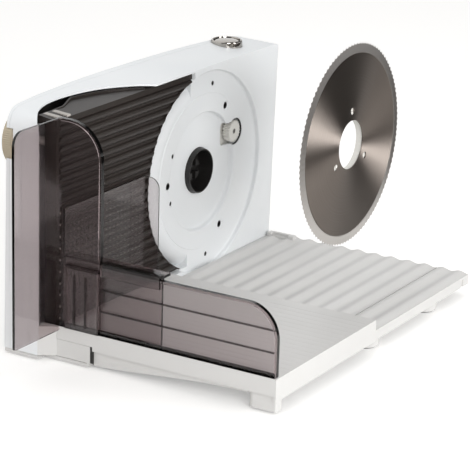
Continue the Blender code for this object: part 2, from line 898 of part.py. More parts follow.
def make_deck():
    deck = plate("y", deck_front_y, deck_back_y, deck_outline())
    low = deck_mid_z - deck_wave - deck_t
    inner_x = base_right_x + gap
    high = (deck_right_x - over / 4, deck_back_y - over / 4, low + over / 4)
    back_skirt = box((inner_x, deck_back_y - deck_t, deck_skirt_z), high)
    high = (deck_right_x - over / 4, deck_front_y + deck_t, low + over / 4)
    front_skirt = box((inner_x, deck_front_y + over / 4, deck_skirt_z), high)
    joined(deck, back_skirt, front_skirt)
    # slot of the carriage's arm
    cut(deck, box((-over, deck_front_y - over, 0.0), (arm_slot_x, arm_slot_end_y, house_high_z)))
    # rib that stands on the base behind the guide rail
    rest = box(
        (arm_slot_x + over, rail_back_y - over + gap, rear_wall_z + gap),
        (base_right_x - over, deck_back_y - over / 2, low + over / 4),
    )
    joined(deck, rest)
    for y in (post_back_y, post_front_y):
        post = rod("z", (post_x, y, 0.0), pad_high_z - pad_seat, low + over / 4, post_r, round_steps)
        joined(deck, post)
        cut(deck, rod("z", (post_x, y, 0.0), -over, pad_high_z + gap, pad_r + gap, round_steps))
    # raised lip with its slot in the far left corner
    lip_low = deck_mid_z - deck_wave - over / 4
    lip_high = deck_mid_z + deck_wave + lip_up
    lip_back_y = deck_back_y - lip_inset
    joined(deck, box((lip_x, lip_back_y - lip_w, lip_low), (lip_end_x, lip_back_y, lip_high)))
    slot_low = deck_mid_z + deck_wave + over / 8
    cut(
        deck,
        box(
            (lip_x + 2 * over, lip_back_y - lip_w - over, slot_low),
            (lip_end_x - 3 * over, lip_back_y - lip_w / 2, lip_high - over / 2),
        ),
    )
    # thin groove along the deck and the notch in its right edge
    groove_at = (groove_x, deck_front_y - over, deck_mid_z - groove_depth)
    cut(deck, box(groove_at, (groove_x + groove_w, deck_back_y + over, house_high_z)))
    cut(
        deck,
        box(
            (deck_right_x - deck_t / 2, notch_y, deck_skirt_z - over),
            (deck_right_x + over, notch_y + notch_w, deck_skirt_z + notch_up),
        ),
    )
    return finish(deck, "deck", white, 0.42)


def make_hub():
    sleeve_r = bore_r - gap
    profile = [
        (sleeve_in_r, sleeve_front_x),
        (sleeve_r - sleeve_taper, sleeve_front_x),
        (sleeve_r, -dish_depth),
        (sleeve_r, socket_front_x + plate_t + gap),
        (sleeve_in_r, socket_front_x + plate_t + gap),
    ]
    finish(turned("x", hub, profile, fine // 2), "hub_sleeve", black, 0.35)
    socket = rod("x", hub, socket_front_x + gap, socket_front_x + plate_t, sleeve_r, round_steps)
    post = rod("x", hub, socket_front_x + plate_t / 2, -dish_depth - 2 * plate_t, key_len - plate_t, round_steps)
    joined(socket, post)
    for turn in (0.0, math.pi / 2):
        key = box((socket_front_x + 2 * plate_t, -key_len - over, -key_w / 2), (0.0, key_len + over, key_w / 2))
        key.data.transform(Matrix.Translation(hub) @ Matrix.Rotation(turn, 4, "X"))
        cut(socket, key)
    return finish(socket, "lock_socket", black, 0.45)


def make_drive():
    """Pinion, its shaft with the large wheel, the bushes, the motor and its pinion."""
    at = (drive_y, drive_z)
    pinion_outline = gear(pinion_teeth, ring_module, at, drive_angle + math.pi + math.pi / pinion_teeth)
    bore = circle(at, shaft_r + run_fit, small_steps)
    pinion = plate("x", pinion_back_x, pinion_front_x, pinion_outline, [bore])
    finish(pinion, "drive_pinion", (0.9, 0.9, 0.88), 0.4, 0.0, drive)

    wheel_outline = gear(wheel_teeth, motor_module, at, motor_angle)
    wheel = plate("x", wheel_back_x, wheel_front_x, wheel_outline, [bore])
    finish(wheel, "reduction_wheel", (0.9, 0.9, 0.88), 0.4, 0.0, drive)

    inner_x = left_face_x(drive_y, drive_z + bush_r) + wall
    shaft_back_x = inner_x + 2 * gap
    shaft = rod("x", drive, shaft_back_x, pinion_front_x - gap, shaft_r, small_steps)
    finish(shaft, "drive_shaft", steel, 0.25, 1.0, drive)

    bush_profile = [
        (shaft_r + run_fit, wheel_back_x - gap),
        (bush_r, wheel_back_x - gap),
        (bush_r, bracket_back_x - plate_t),
        (shaft_r + run_fit, bracket_back_x - plate_t),
    ]
    finish(turned("x", drive, bush_profile, small_steps), "shaft_bush", (0.45, 0.33, 0.15), 0.4, 1.0)
    back_bush = [
        (shaft_r + run_fit, shaft_back_x + 3 * plate_t),
        (bush_r, shaft_back_x + 3 * plate_t),
        (bush_r, inner_x + gap),
        (shaft_r + run_fit, inner_x + gap),
    ]
    finish(turned("x", drive, back_bush, small_steps), "cover_bush", (0.45, 0.33, 0.15), 0.4, 1.0)

    teeth_shift = math.pi / motor_teeth
    motor_gear = gear(motor_teeth, motor_module, (motor_y, motor_z), motor_angle + math.pi + teeth_shift)
    motor_pinion = plate("x", motor_pinion_back_x, wheel_front_x, motor_gear)
    joined(motor_pinion, rod("x", motor, motor_front_x - plate_t * 3, wheel_back_x, motor_shaft_r, small_steps))
    finish(motor_pinion, "motor_pinion", steel, 0.3, 1.0, motor)

    can = rod("x", motor, motor_back_x, motor_front_x, motor_r, fine // 2)
    cut(can, rod("x", motor, motor_front_x - plate_t * 4, motor_front_x + over, motor_shaft_r + run_fit, small_steps))
    finish(can, "motor", (0.3, 0.3, 0.31), 0.35, 1.0)


def make_bracket():
    """Sheet that carries the motor and the drive shaft, screwed between the bosses of the shell."""
    margin = 2 * plate_t
    low = (motor_y - motor_r, motor_z - motor_r)
    high = (house_back_y - back_lean - wall - gap, drive_z + bush_r + margin)
    outline = [
        (low[0], low[1]),
        (high[0], low[1]),
        (high[0], high[1]),
        (drive_y - bush_r - margin, high[1]),
        (low[0], motor_z + motor_r),
    ]
    holes = [
        circle((drive_y, drive_z), bush_r + gap, small_steps),
        circle((motor_y, motor_z), motor_pitch_r + 2 * motor_module, small_steps),
    ]
    sheet = plate("x", bracket_back_x, bracket_front_x, outline, holes)
    return finish(sheet, "motor_bracket", (0.5, 0.5, 0.5), 0.4, 1.0)


def make_fence():
    """Thickness plate: a skin with stepped rim, hollow behind, cut round the blade."""
    back = fence_x - fence_t
    high = fence_high_z
    outline_low = (back, fence_front_y, fence_low_z)
    outline_high = (fence_x, face_edge_y - 2 * gap, house_high_z)
    fence = box(outline_low, outline_high)
    round_cut = rod("x", hub, back - over, fence_x + over, fence_cut_r, fine)
    cut(fence, roof_cutter(roof_lip + fence_top_gap), round_cut)
    hollow = box(
        (back - over, fence_front_y + fence_skin, fence_low_z + fence_skin),
        (fence_x - fence_skin, face_edge_y + over, high - fence_skin),
    )
    cut(hollow, rod("x", hub, back - 2 * over, fence_x + over, fence_cut_r + fence_skin, fine))
    for z in (guide_low_z, guide_high_z):
        cut(hollow, rod("x", (0.0, guide_y, z), back - 2 * over, over, slider_half + wall, small_steps))
    cut(hollow, rod("x", (0.0, knob_y, knob_z), back - 2 * over, over, cam_r + wall + run_gap, small_steps))
    cut(fence, hollow)
    for z in (guide_low_z, guide_high_z):
        sleeve_r = slider_half + wall / 2
        sleeve = rod("x", (0.0, guide_y, z), back - guide_reach, back + wall, sleeve_r, small_steps)
        joined(fence, sleeve)
    # ribs: long shallow grooves leave them standing proud
    ribs = 20
    pitch = (high - fence_low_z) / ribs
    groove = 0.0012
    groove_share = 0.45
    grooves = []
    for i in range(ribs):
        low = fence_low_z + pitch * (i + (1 - groove_share) / 2)
        grooves.append(
            box(
                (fence_x - groove, fence_front_y + 2 * fence_skin, low),
                (fence_x + over, house_back_y, low + pitch * groove_share),
            )
        )
    cut(fence, *grooves)
    for z in (guide_low_z, guide_high_z):
        bore_end = fence_x - fence_skin
        bore_low = back - guide_reach - over
        cut(fence, rod("x", (0.0, guide_y, z), bore_low, bore_end, guide_r + run_fit, small_steps))
    cut(fence, rod("x", (0.0, knob_y, knob_z), back - over, fence_x - fence_skin, cam_r + run_fit, small_steps))
    finish(fence, "thickness_plate", dark_brown, 0.45)
    names = ("fence_guide_low", "fence_guide_high")
    for name, z in zip(names, (guide_low_z, guide_high_z)):
        end = fence_x - fence_skin - fence_back_travel - run_gap
        pin = rod("x", (0.0, guide_y, z), part_x - gap - wall / 2, end, guide_r, small_steps)
        finish(pin, name, steel, 0.25, 1.0)


def make_knob():
    knob_at = (0.0, knob_y, knob_z)
    outline = []
    for i in range(knob_grooves * 2):
        radius = knob_r if i % 2 == 0 else knob_r - knob_groove_depth
        angle = math.tau * i / (knob_grooves * 2)
        outline.append((knob_y + radius * math.cos(angle), knob_z + radius * math.sin(angle)))
    knob = plate("x", knob_out_x, knob_in_x, outline)
    finish(knob, "thickness_knob", champagne, 0.35, 0.8, knob_at)
    cam_end = fence_x - fence_skin - fence_back_travel - run_gap
    shaft = rod("x", knob_at, knob_in_x + gap, cam_end, cam_r, small_steps)
    finish(shaft, "knob_shaft", (0.8, 0.8, 0.78), 0.45, 0.0, knob_at)


def make_switch():
    top_z = switch_top_z
    centre = (switch_x, switch_y, 0.0)
    high = top_z + bezel_up
    low = switch_seat_z + gap
    bezel_profile = [
        (switch_r - bezel_wall, high),
        (switch_r - bezel_wall / 3, high),
        (switch_r, high - bezel_wall / 3),
        (switch_r, low),
        (switch_r - bezel_wall, low),
    ]
    finish(turned("z", centre, bezel_profile, fine // 2), "switch_bezel", steel, 0.12, 1.0)
    button_r = switch_r - bezel_wall - gap
    dome = [(0.0, top_z + button_up)]
    dome_steps = 5
    dome_share = 0.3
    for i in range(1, dome_steps + 1):
        share = i / dome_steps
        dome.append((button_r * share, top_z + button_up - bezel_up * dome_share * share * share))
    body_high = switch_body_high
    dome.append((button_r - gap, body_high + button_travel + run_gap))
    dome.append((0.0, body_high + button_travel + run_gap))
    pivot = (switch_x, switch_y, top_z)
    finish(turned("z", centre, dome, round_steps), "switch_button", (0.75, 0.73, 0.70), 0.2, 1.0, pivot)
    half = switch_body_side / 2
    body = box(
        (switch_x - part_slack, switch_y - half, body_high - switch_body_drop),
        (switch_x + half, switch_y + half, body_high),
    )
    finish(body, "switch_body", black, 0.5)


def tray_arch():
    """The bottom edge of the front skirt between the slit and the corner foot, as XZ points."""
    points = []
    for i in range(small_steps + 1):
        share = i / small_steps
        x = tray_slit_x + (tray_foot_x - tray_slit_x) * share
        z = arch_left_z + (arch_right_z - arch_left_z) * math.sin(share * math.pi / 2) ** 1.5
        points.append((x, z))
    return points


def make_tray():
    tray = box((tray_left_x, tray_front_y, tray_high_z - tray_t), (tray_right_x, tray_back_y, tray_high_z))
    top = tray_high_z - tray_t / 2
    band = box((tray_slit_x, tray_front_y, tray_band_z), (tray_right_x, tray_front_y + tray_wall, top))
    left_band = box((tray_left_x, tray_front_y, tray_band_left_z), (tray_slit_x + over, tray_front_y + tray_wall, top))
    side = box((tray_right_x - tray_wall, tray_front_y, tray_skirt_z), (tray_right_x, tray_back_y, top))
    joined(tray, band, left_band, side)
    cove_y = tray_front_y + tray_cove
    outline = tray_arch()
    outline += [(tray_foot_x, top), (tray_slit_x, top)]
    skirt = plate("y", tray_front_y + tray_wall / 2, cove_y + tray_wall, outline)
    cut(skirt, box((0.0, tray_front_y - over, -over), (tray_right_x, cove_y, tray_band_z - gap)))
    joined(tray, skirt)
    foot = box(
        (tray_foot_x, tray_front_y, tray_foot_z),
        (tray_right_x, tray_front_y + tray_foot_len, top),
    )
    cut(
        foot,
        box(
            (tray_foot_x - over, tray_front_y + tray_wall, -over),
            (tray_right_x - tray_wall, tray_front_y + tray_foot_len + over, tray_high_z),
        ),
    )
    joined(tray, foot)
    return finish(tray, "carriage_tray", white, 0.4, 0.0, (0.0, tray_front_y, 0.0))


def make_slider():
    """Block that runs on the rail, with the arm that reaches up through the slot to the tray."""
    low = (arm_left_x, slider_y, rail_z - rail_r - wall / 2)
    high = (rail_x + rail_r + wall, slider_y + slider_len, rail_z + rail_r + wall / 2)
    block = box(low, high)
    cut(block, rod("y", (rail_x, 0.0, rail_z), slider_y - over, slider_y + slider_len + over, rail_r + run_fit, round_steps))
    arm = box(
        (arm_left_x, slider_y, rail_z),
        (arm_left_x + arm_t, slider_y + slider_len, tray_high_z - tray_t - gap),
    )
    flange = box(
        (arm_left_x, slider_y, tray_high_z - 2 * tray_t),
        (tray_left_x + slider_len / 4, slider_y + slider_len, tray_high_z - tray_t - gap),
    )
    joined(block, arm, flange)
    finish(block, "rail_slider", (0.8, 0.8, 0.78), 0.4)
    crest_z = deck_mid_z + deck_wave
    places = ((arm_slot_x + runner_w, "runner_left"), (groove_x - 2 * runner_w, "runner_right"))
    for x, name in places:
        pad = box(
            (x, tray_back_y - runner_len, crest_z + gap),
            (x + runner_w, tray_back_y - gap, tray_high_z - tray_t - gap),
        )
        finish(pad, name, (0.8, 0.8, 0.78), 0.4)


def rounded_corner(corner, radius, start):
    """Points of a rounded outer corner. Corner is where the straight edges would meet."""
    signs = {0.0: (-1, -1), math.pi / 2: (1, -1)}
    side = signs[start]
    centre = (corner[0] + side[0] * radius, corner[1] + side[1] * radius)
    return arc(centre, radius, start, start + math.pi / 2, small_steps // 2)


def make_guard():
    """Smoked guard: a wing, a tall panel and a low panel."""
    front = guard_back_y - panel_t
    seat = tray_high_z + gap
    face = [(guard_left_x, seat), (low_right_x, seat)]
    face += rounded_corner((low_right_x, low_high_z), low_corner_r, 0.0)
    face.append((tall_right_x, low_high_z))
    face += rounded_corner((tall_right_x, guard_high_z), tall_corner_r, 0.0)
    face.append((guard_left_x, guard_high_z))
    guard = plate("y", front, guard_back_y, face)
    wing = [(wing_front_y, wing_low_z), (tray_front_y - gap, wing_low_z), (tray_front_y - gap, seat)]
    wing += [(guard_back_y, seat), (guard_back_y, guard_high_z)]
    wing += rounded_corner((wing_front_y, guard_high_z), wing_corner_r, math.pi / 2)
    joined(guard, plate("x", guard_left_x, guard_left_x + panel_t, wing))
    # finger grip: a shallow box that stands out of the tall panel
    grip = box(
        (grip_x, front - grip_depth, seat),
        (tall_right_x - panel_t / 4, front + panel_t / 2, grip_high_z),
    )
    cut(
        grip,
        box(
            (grip_x + panel_t, front - grip_depth + panel_t / 2, seat - over),
            (tall_right_x - panel_t, front + over, grip_high_z - panel_t),
        ),
    )
    joined(guard, grip)
    rib = 0.0012
    rib_shares = (0.35, 0.66)
    for share in rib_shares:
        z = seat + (low_high_z - seat) * share
        bar = box(
            (tall_right_x - over, front - rib, z),
            (low_right_x - low_corner_r / 4, front + rib, z + rib),
        )
        joined(guard, bar)
    return finish(guard, "guard", smoke, 0.15)


def make_holder():
    """Smoked food holder: plate along the fence, ledge over the low panel and apron."""
    left = holder_left_x
    near = guard_back_y + gap
    front = guard_back_y - panel_t - gap
    ledge_low_z = low_high_z + gap
    section = [
        (near, holder_low_z),
        (near + holder_t, holder_low_z),
        (near + holder_t, ledge_low_z),
        (holder_ledge_y, ledge_low_z),
        (holder_ledge_y, ledge_high_z),
        (front - holder_t, ledge_high_z),
        (front - holder_t, ledge_high_z - holder_lip_drop),
        (front, ledge_high_z - holder_lip_drop),
        (front, ledge_low_z),
        (near, ledge_low_z),
    ]
    holder = plate("x", left + nudge, holder_right_x, section)
    hook_low = (left - over, front - holder_t - over, holder_low_z - over)
    cut(holder, box(hook_low, (tall_right_x + run_gap, near - nudge, ledge_high_z + over)))
    outline = [(near + nudge, holder_low_z + nudge), (holder_far_y, holder_low_z + nudge)]
    outline += [(holder_far_y, holder_high_z), (near + nudge, holder_high_z)]
    end = [(left + nudge, holder_low_z + 2 * nudge), (holder_flange_x, holder_low_z + 2 * nudge)]
    centre = (holder_flange_x - holder_corner_r, holder_high_z - nudge - holder_corner_r)
    end += arc(centre, holder_corner_r, 0.0, math.pi / 2, small_steps // 2)
    end.append((left + nudge, holder_high_z - nudge))
    flange = plate("y", holder_far_y - holder_t, holder_far_y - nudge, end)
    joined(holder, plate("x", left, left + holder_t, outline), flange)
    return finish(holder, "food_holder", smoke, 0.3)


def make_blade():
    """Toothed disc with the ring gear pinned behind it and the bush that the ring turns on."""
    centre = (0.0, hub_z + blade_out_z)
    radius = blade_d / 2
    outline = []
    for i in range(blade_teeth):
        for share, drop in ((0.0, 0.0), (0.5, blade_tooth_depth)):
            angle = math.tau * (i + share) / blade_teeth
            reach = radius - drop
            outline.append((centre[0] + reach * math.cos(angle), centre[1] + reach * math.sin(angle)))
    pins = []
    for i in range(blade_pins):
        angle = math.pi / 2 + math.tau * i / blade_pins
        y = centre[0] + blade_pin_circle_r * math.cos(angle)
        pins.append((y, centre[1] + blade_pin_circle_r * math.sin(angle)))
    holes = [circle(centre, blade_hole_r, round_steps)]
    holes += [circle(pin, blade_pin_r + gap, small_steps // 2) for pin in pins]
    front = blade_out_x + blade_seat_x
    pivot = (blade_out_x, 0.0, hub_z + blade_out_z)
    disc = plate("x", front - blade_t, front, outline, holes)
    finish(disc, "blade", steel, 0.3, 1.0, pivot)

    bush_out_r = bore_r + 2 * run_gap + plate_t / 2
    ring_in_r = bush_out_r + gap
    teeth = gear(ring_teeth, ring_module, centre, drive_angle)
    ring_back = blade_out_x + ring_back_x
    ring_front = front - blade_t - gap
    ring = plate("x", ring_back, ring_front, teeth, [circle(centre, ring_in_r, round_steps)])
    lighten = turned(
        "x",
        (ring_back, 0.0, centre[1]),
        [
            (blade_pin_circle_r + 2 * blade_pin_r, ring_height - plate_t),
            (ring_pitch_r - 4 * ring_module, ring_height - plate_t),
            (ring_pitch_r - 4 * ring_module, -over),
            (blade_pin_circle_r + 2 * blade_pin_r, -over),
        ],
        round_steps,
    )
    cut(ring, lighten)
    for y, z in pins:
        joined(ring, rod("x", (0.0, y, z), ring_front - plate_t / 2, front - gap, blade_pin_r, small_steps // 2))
    finish(ring, "blade_ring_gear", (0.9, 0.9, 0.88), 0.4, 0.0, pivot)

    bush = turned(
        "x",
        (0.0, 0.0, centre[1]),
        [
            (bush_out_r - plate_t / 2, ring_front),
            (bush_out_r, ring_front),
            (bush_out_r, ring_back),
            (bush_out_r - plate_t / 2, ring_back),
        ],
        round_steps,
    )
    finish(bush, "blade_bush", black, 0.4, 0.0, pivot)


def make_fasteners():
    names = ("cover_screw_front_low", "cover_screw_front_high", "cover_screw_back_low", "cover_screw_back_high")
    for name, (y, z) in zip(names, screw_places):
        at = (0.0, y, z)
        face_x = left_face_x(y, z)
        head = rod("x", at, face_x, face_x + screw_head_t, screw_head_r, small_steps)
        shank_low = face_x + screw_head_t / 2
        joined(head, rod("x", at, shank_low, shank_low + screw_len, screw_r, small_steps))
        slot = box((-over, -screw_head_r - over, -screw_r / 4), (screw_head_t / 3, screw_head_r + over, screw_r / 4))
        slot.data.transform(Matrix.Translation((face_x, y, z)))
        cut(head, slot)
        finish(head, name, steel, 0.3, 1.0)
    for i, (y, up) in enumerate(face_hole_places):
        at = (0.0, y, hub_z + up)
        deep_x = -dish_depth - wall / 2
        screw = rod("x", at, deep_x - screw_len / 2, deep_x, face_hole_r - gap, small_steps)
        finish(screw, f"face_screw_{i + 1}", (0.1, 0.1, 0.1), 0.4, 1.0)


def make_inlet():
    """Bush in the back wall where the mains lead enters. The lead itself isn't part of the model."""
    inner = house_back_y - back_lean - wall
    lean_share = back_lean / (house_high_z - back_low_z)
    outer = house_back_y - back_lean + lean_share * (inlet_z - back_low_z)
    profile = [
        (inlet_r / 2, outer + inlet_proud),
        (inlet_r, outer + inlet_proud),
        (inlet_r + plate_t, outer + plate_t),
        (inlet_r + plate_t, outer + run_gap),
        (inlet_r - gap, outer + run_gap),
        (inlet_r - gap, inner - plate_t),
        (inlet_r / 2, inner - plate_t),
    ]
    centre = (inlet_x, 0.0, inlet_z)
    return finish(turned("y", centre, profile, round_steps), "cord_inlet", black, 0.6)


def make_board():
    back = left_face_x(board_y, board_z + board_h / 2) + wall + gap
    board = box(
        (back, board_y - board_w / 2, board_z - board_h / 2),
        (back + board_t, board_y + board_w / 2, board_z + board_h / 2),
    )
    return finish(board, "rectifier_board", (0.05, 0.2, 0.08), 0.5)


make_main_housing()
make_side_cover()
make_base()
make_rail()
make_pads()
make_deck()
make_hub()
make_drive()
make_bracket()
make_fence()
make_knob()
make_switch()
make_tray()
make_slider()
make_guard()
make_holder()
make_blade()
make_fasteners()
make_inlet()
make_board()
centre_on_base()
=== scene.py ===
import math

import bmesh
import bpy
from mathutils import Matrix, Vector


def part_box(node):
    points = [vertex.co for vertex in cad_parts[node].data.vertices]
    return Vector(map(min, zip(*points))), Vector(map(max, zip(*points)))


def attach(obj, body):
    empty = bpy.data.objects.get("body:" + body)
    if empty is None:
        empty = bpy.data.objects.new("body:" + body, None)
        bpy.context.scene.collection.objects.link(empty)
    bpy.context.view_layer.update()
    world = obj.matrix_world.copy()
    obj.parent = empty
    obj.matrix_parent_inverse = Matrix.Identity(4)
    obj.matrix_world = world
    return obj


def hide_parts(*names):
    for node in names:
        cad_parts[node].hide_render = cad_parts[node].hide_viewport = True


# Food slicer with its blade taken off. Pieces are drawn in millimetres with X = 0 on the
# face that carries the blade and Y = 0 on the blade's axis, then put in the frame.
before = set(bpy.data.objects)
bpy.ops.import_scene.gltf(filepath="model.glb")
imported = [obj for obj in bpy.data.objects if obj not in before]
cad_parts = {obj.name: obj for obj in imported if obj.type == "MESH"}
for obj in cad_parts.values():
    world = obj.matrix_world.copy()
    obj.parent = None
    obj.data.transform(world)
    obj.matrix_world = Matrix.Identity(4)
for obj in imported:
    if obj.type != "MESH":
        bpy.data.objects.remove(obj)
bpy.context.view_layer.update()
mm = 0.001
housingLow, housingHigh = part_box("main_housing")
frontToHub = 260.0  # from the housing's front to the blade's axis
hubZ = 115.0
place = Vector((housingHigh.x, housingLow.y + frontToHub * mm, 0.0))  # the drawing's zero in the frame
print("frame loaded")


# Small tools

def newObject(name, mesh):
    piece = bpy.data.objects.new(name, mesh)
    bpy.context.scene.collection.objects.link(piece)
    return piece


def meshFrom(name, verts, faces):
    mesh = bpy.data.meshes.new(name)
    mesh.from_pydata(verts, [], faces)
    bm = bmesh.new()
    bm.from_mesh(mesh)
    bmesh.ops.recalc_face_normals(bm, faces=bm.faces)
    bm.to_mesh(mesh)
    bm.free()
    return newObject(name, mesh)


axisOrder = {"x": (2, 0, 1), "y": (0, 2, 1), "z": (0, 1, 2)}  # where U, V and the depth go


def spot(axis, u, v, depth):
    values = (u, v, depth)
    return tuple(values[k] for k in axisOrder[axis])


def prism(axis, low, high, outline, farOutline=None):
    far = farOutline or outline
    count = len(outline)
    verts = [spot(axis, u, v, low) for u, v in outline] + [spot(axis, u, v, high) for u, v in far]
    faces = [list(range(count)), list(range(count, 2 * count))]
    for i in range(count):
        j = (i + 1) % count
        faces.append([i, j, count + j, count + i])
    return meshFrom("prism", verts, faces)


def block(low, high):
    corners = [(low[0], low[1]), (high[0], low[1]), (high[0], high[1]), (low[0], high[1])]
    return prism("z", low[2], high[2], corners)


def region(**limits):
    # a block that reaches past everything on the sides that aren't limited
    far = 400
    low = [limits.get(side, -far) for side in ("lowX", "lowY", "lowZ")]
    return block(low, [limits.get(side, far) for side in ("highX", "highY", "highZ")])


def spun(rows, count, spotAt):
    # a closed skin through rings of points; a row whose radius is 0 is one point
    verts, rings = [], []
    for row in rows:
        if row[0] < 1e-6:
            rings.append([len(verts)] * count)
            verts.append(spotAt(row, 0))
        else:
            rings.append(list(range(len(verts), len(verts) + count)))
            verts += [spotAt(row, k) for k in range(count)]
    pairs = list(zip(rings, rings[1:]))
    if rows[0][0] > 1e-6:
        pairs.append((rings[-1], rings[0]))
    faces = []
    for a, b in pairs:
        for k in range(count):
            j = (k + 1) % count
            face = []
            for index in (a[k], a[j], b[j], b[k]):
                if index not in face:
                    face.append(index)
            if len(face) > 2:
                faces.append(face)
    return meshFrom("spun", verts, faces)


def turned(axis, centre, profile, steps):
    # the profile is the (radius, height) points of a closed section
    def spotAt(row, k):
        turn = math.tau * k / steps
        return spot(axis, row[0] * math.cos(turn), row[0] * math.sin(turn), row[1])

    piece = spun(profile, steps, spotAt)
    piece.data.transform(Matrix.Translation(centre))
    return piece


def drum(axis, centre, radius, low, high, steps):
    return turned(axis, centre, [(0, high), (radius, high), (radius, low), (0, low)], steps)


def arc(centre, radius, start, end, steps):
    points = []
    for i in range(steps + 1):
        turn = math.radians(start + (end - start) * i / steps)
        points.append((centre[0] + radius * math.cos(turn), centre[1] + radius * math.sin(turn)))
    return points


def roundedPath(corners, steps=8):
    # outline from (u, v, radius) corners, each rounded by its radius
    points = []
    count = len(corners)
    for i, (u, v, radius) in enumerate(corners):
        here = Vector((u, v))
        if radius <= 0:
            points.append((u, v))
            continue
        before = (Vector(corners[i - 1][:2]) - here).normalized()
        after = (Vector(corners[(i + 1) % count][:2]) - here).normalized()
        half = before.angle(after) / 2
        reach = radius / math.tan(half)
        centre = here + (before + after).normalized() * (radius / math.sin(half))
        first, last = here + before * reach - centre, here + after * reach - centre
        turn = first.angle_signed(last)
        for k in range(steps + 1):
            ray = first.copy()
            ray.rotate(Matrix.Rotation(-turn * k / steps, 2))
            points.append(tuple(centre + ray))
    return points


def blend(t, a, b, c, d):
    square = (2 * a - 5 * b + 4 * c - d) * t * t
    cube = (3 * b - a - 3 * c + d) * t ** 3
    return (2 * b + (c - a) * t + square + cube) / 2


def flowing(points, steps):
    # smooth curve through the given points
    curve = []
    last = len(points) - 1
    for i in range(last):
        around = [points[max(0, min(last, i + k))] for k in (-1, 0, 1, 2)]
        for j in range(steps):
            curve.append(tuple(blend(j / steps, *values) for values in zip(*around)))
    curve.append(points[last])
    return curve


def applied(piece):
    # makes the modifiers part of the mesh
    graph = bpy.context.evaluated_depsgraph_get()
    mesh = bpy.data.meshes.new_from_object(piece.evaluated_get(graph))
    piece.modifiers.clear()
    piece.data = mesh
    return piece


def boolean(piece, tools, how):
    for tool in tools:
        step = piece.modifiers.new("shape", "BOOLEAN")
        step.operation = how
        step.solver = "EXACT"
        step.object = tool
        applied(piece)
        bm = bmesh.new()
        bm.from_mesh(piece.data)
        bmesh.ops.remove_doubles(bm, verts=bm.verts, dist=0.002)
        bmesh.ops.dissolve_degenerate(bm, edges=bm.edges, dist=0.002)
        bm.to_mesh(piece.data)
        bm.free()
        bpy.data.objects.remove(tool)
    return piece


def cut(piece, *tools):
    return boolean(piece, tools, "DIFFERENCE")


def joined(piece, *tools):
    return boolean(piece, tools, "UNION")


def kept(piece, *tools):
    return boolean(piece, tools, "INTERSECT")


def softEdges(piece, width, steps=3, angle=30):
    step = piece.modifiers.new("soft", "BEVEL")
    step.width = width
    step.segments = steps
    step.limit_method = "ANGLE"
    step.angle_limit = math.radians(angle)
    step.use_clamp_overlap = True
    return applied(piece)


def gathered(pieces):
    # one object out of several that don't meet
    bm = bmesh.new()
    for piece in pieces:
        bm.from_mesh(piece.data)
    mesh = bpy.data.meshes.new("gathered")
    bm.to_mesh(mesh)
    bm.free()
    for piece in pieces:
        bpy.data.objects.remove(piece)
    return newObject("gathered", mesh)


def settle(piece, name, body, finish, replaced=(), sharp=32):
    # puts a drawn piece in the frame, dressed and riding on its body
    piece.name = name
    piece.data.name = name
    piece.data.transform(Matrix.Translation(place) @ Matrix.Scale(mm, 4))
    piece.data.materials.clear()
    piece.data.materials.append(finish)
    piece.data.shade_smooth()
    piece.data.set_sharp_from_angle(angle=math.radians(sharp))
    # broad faces stay flat beside their soft edges
    level = piece.modifiers.new("level", "WEIGHTED_NORMAL")
    level.keep_sharp = True
    level.weight = 100
    applied(piece)
    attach(piece, body)
    if replaced:
        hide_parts(*replaced)
    return piece


# Rows that repeat, grown by Geometry Nodes

def repeater(name, sockets, build):
    # a tree with named inputs; build adds the nodes that make the copies
    tree = bpy.data.node_groups.new(name, "GeometryNodeTree")
    tree.interface.new_socket("Geometry", in_out="OUTPUT", socket_type="NodeSocketGeometry")
    for label, kind in sockets:
        tree.interface.new_socket(label, in_out="INPUT", socket_type="NodeSocket" + kind)
    given = tree.nodes.new("NodeGroupInput")
    made = addNode(tree, "GeometryNodeRealizeInstances", None, {0: (build(tree, given), 0)})
    links = {0: (made, 0), "Material": (given, "Finish")}
    dressed = addNode(tree, "GeometryNodeSetMaterial", None, links)
    out = tree.nodes.new("NodeGroupOutput")
    tree.links.new(dressed.outputs[0], out.inputs[0])
    return tree


def grown(name, tree, values):
    # the tree's result as a plain object
    piece = newObject(name, bpy.data.meshes.new(name))
    step = piece.modifiers.new("rows", "NODES")
    step.node_group = tree
    for item in tree.interface.items_tree:
        if item.in_out == "INPUT":
            step[item.identifier] = values[item.name]
    return applied(piece)


def copies(tree, points, shape):
    links = {"Points": (points, 0), "Instance": (shape, 0)}
    return addNode(tree, "GeometryNodeInstanceOnPoints", None, links)


def spikeRows(tree, given):
    size = {"Size X": "Across", "Size Y": "Up", "Vertices X": "Columns", "Vertices Y": "Rows"}
    links = {key: (given, label) for key, label in size.items()}
    grid = addNode(tree, "GeometryNodeMeshGrid", None, links)
    form = {"Vertices": 8, "Side Segments": 1, "Fill Segments": 1, "Radius Top": 0.15}
    links = {"Radius Bottom": (given, "Radius"), "Depth": (given, "Height")}
    return copies(tree, grid, addNode(tree, "GeometryNodeMeshCone", form, links))


def glintRow(tree, given):
    # a row of small pale blocks, used as painted highlights
    step = addNode(tree, "ShaderNodeCombineXYZ", None, {"Z": (given, "Pitch")})
    links = {"Count": (given, "Count"), "Offset": (step, 0)}
    line = addNode(tree, "GeometryNodeMeshLine", {"mode": "OFFSET"}, links)
    return copies(tree, line, addNode(tree, "GeometryNodeMeshCube", None, {"Size": (given, "Size")}))


# Materials

def hexColour(code):
    # sRGB hex to linear
    values = []
    for i in (0, 2, 4):
        part = int(code[i:i + 2], 16) / 255
        values.append(part / 12.92 if part <= 0.04045 else ((part + 0.055) / 1.055) ** 2.4)
    return (*values, 1.0)


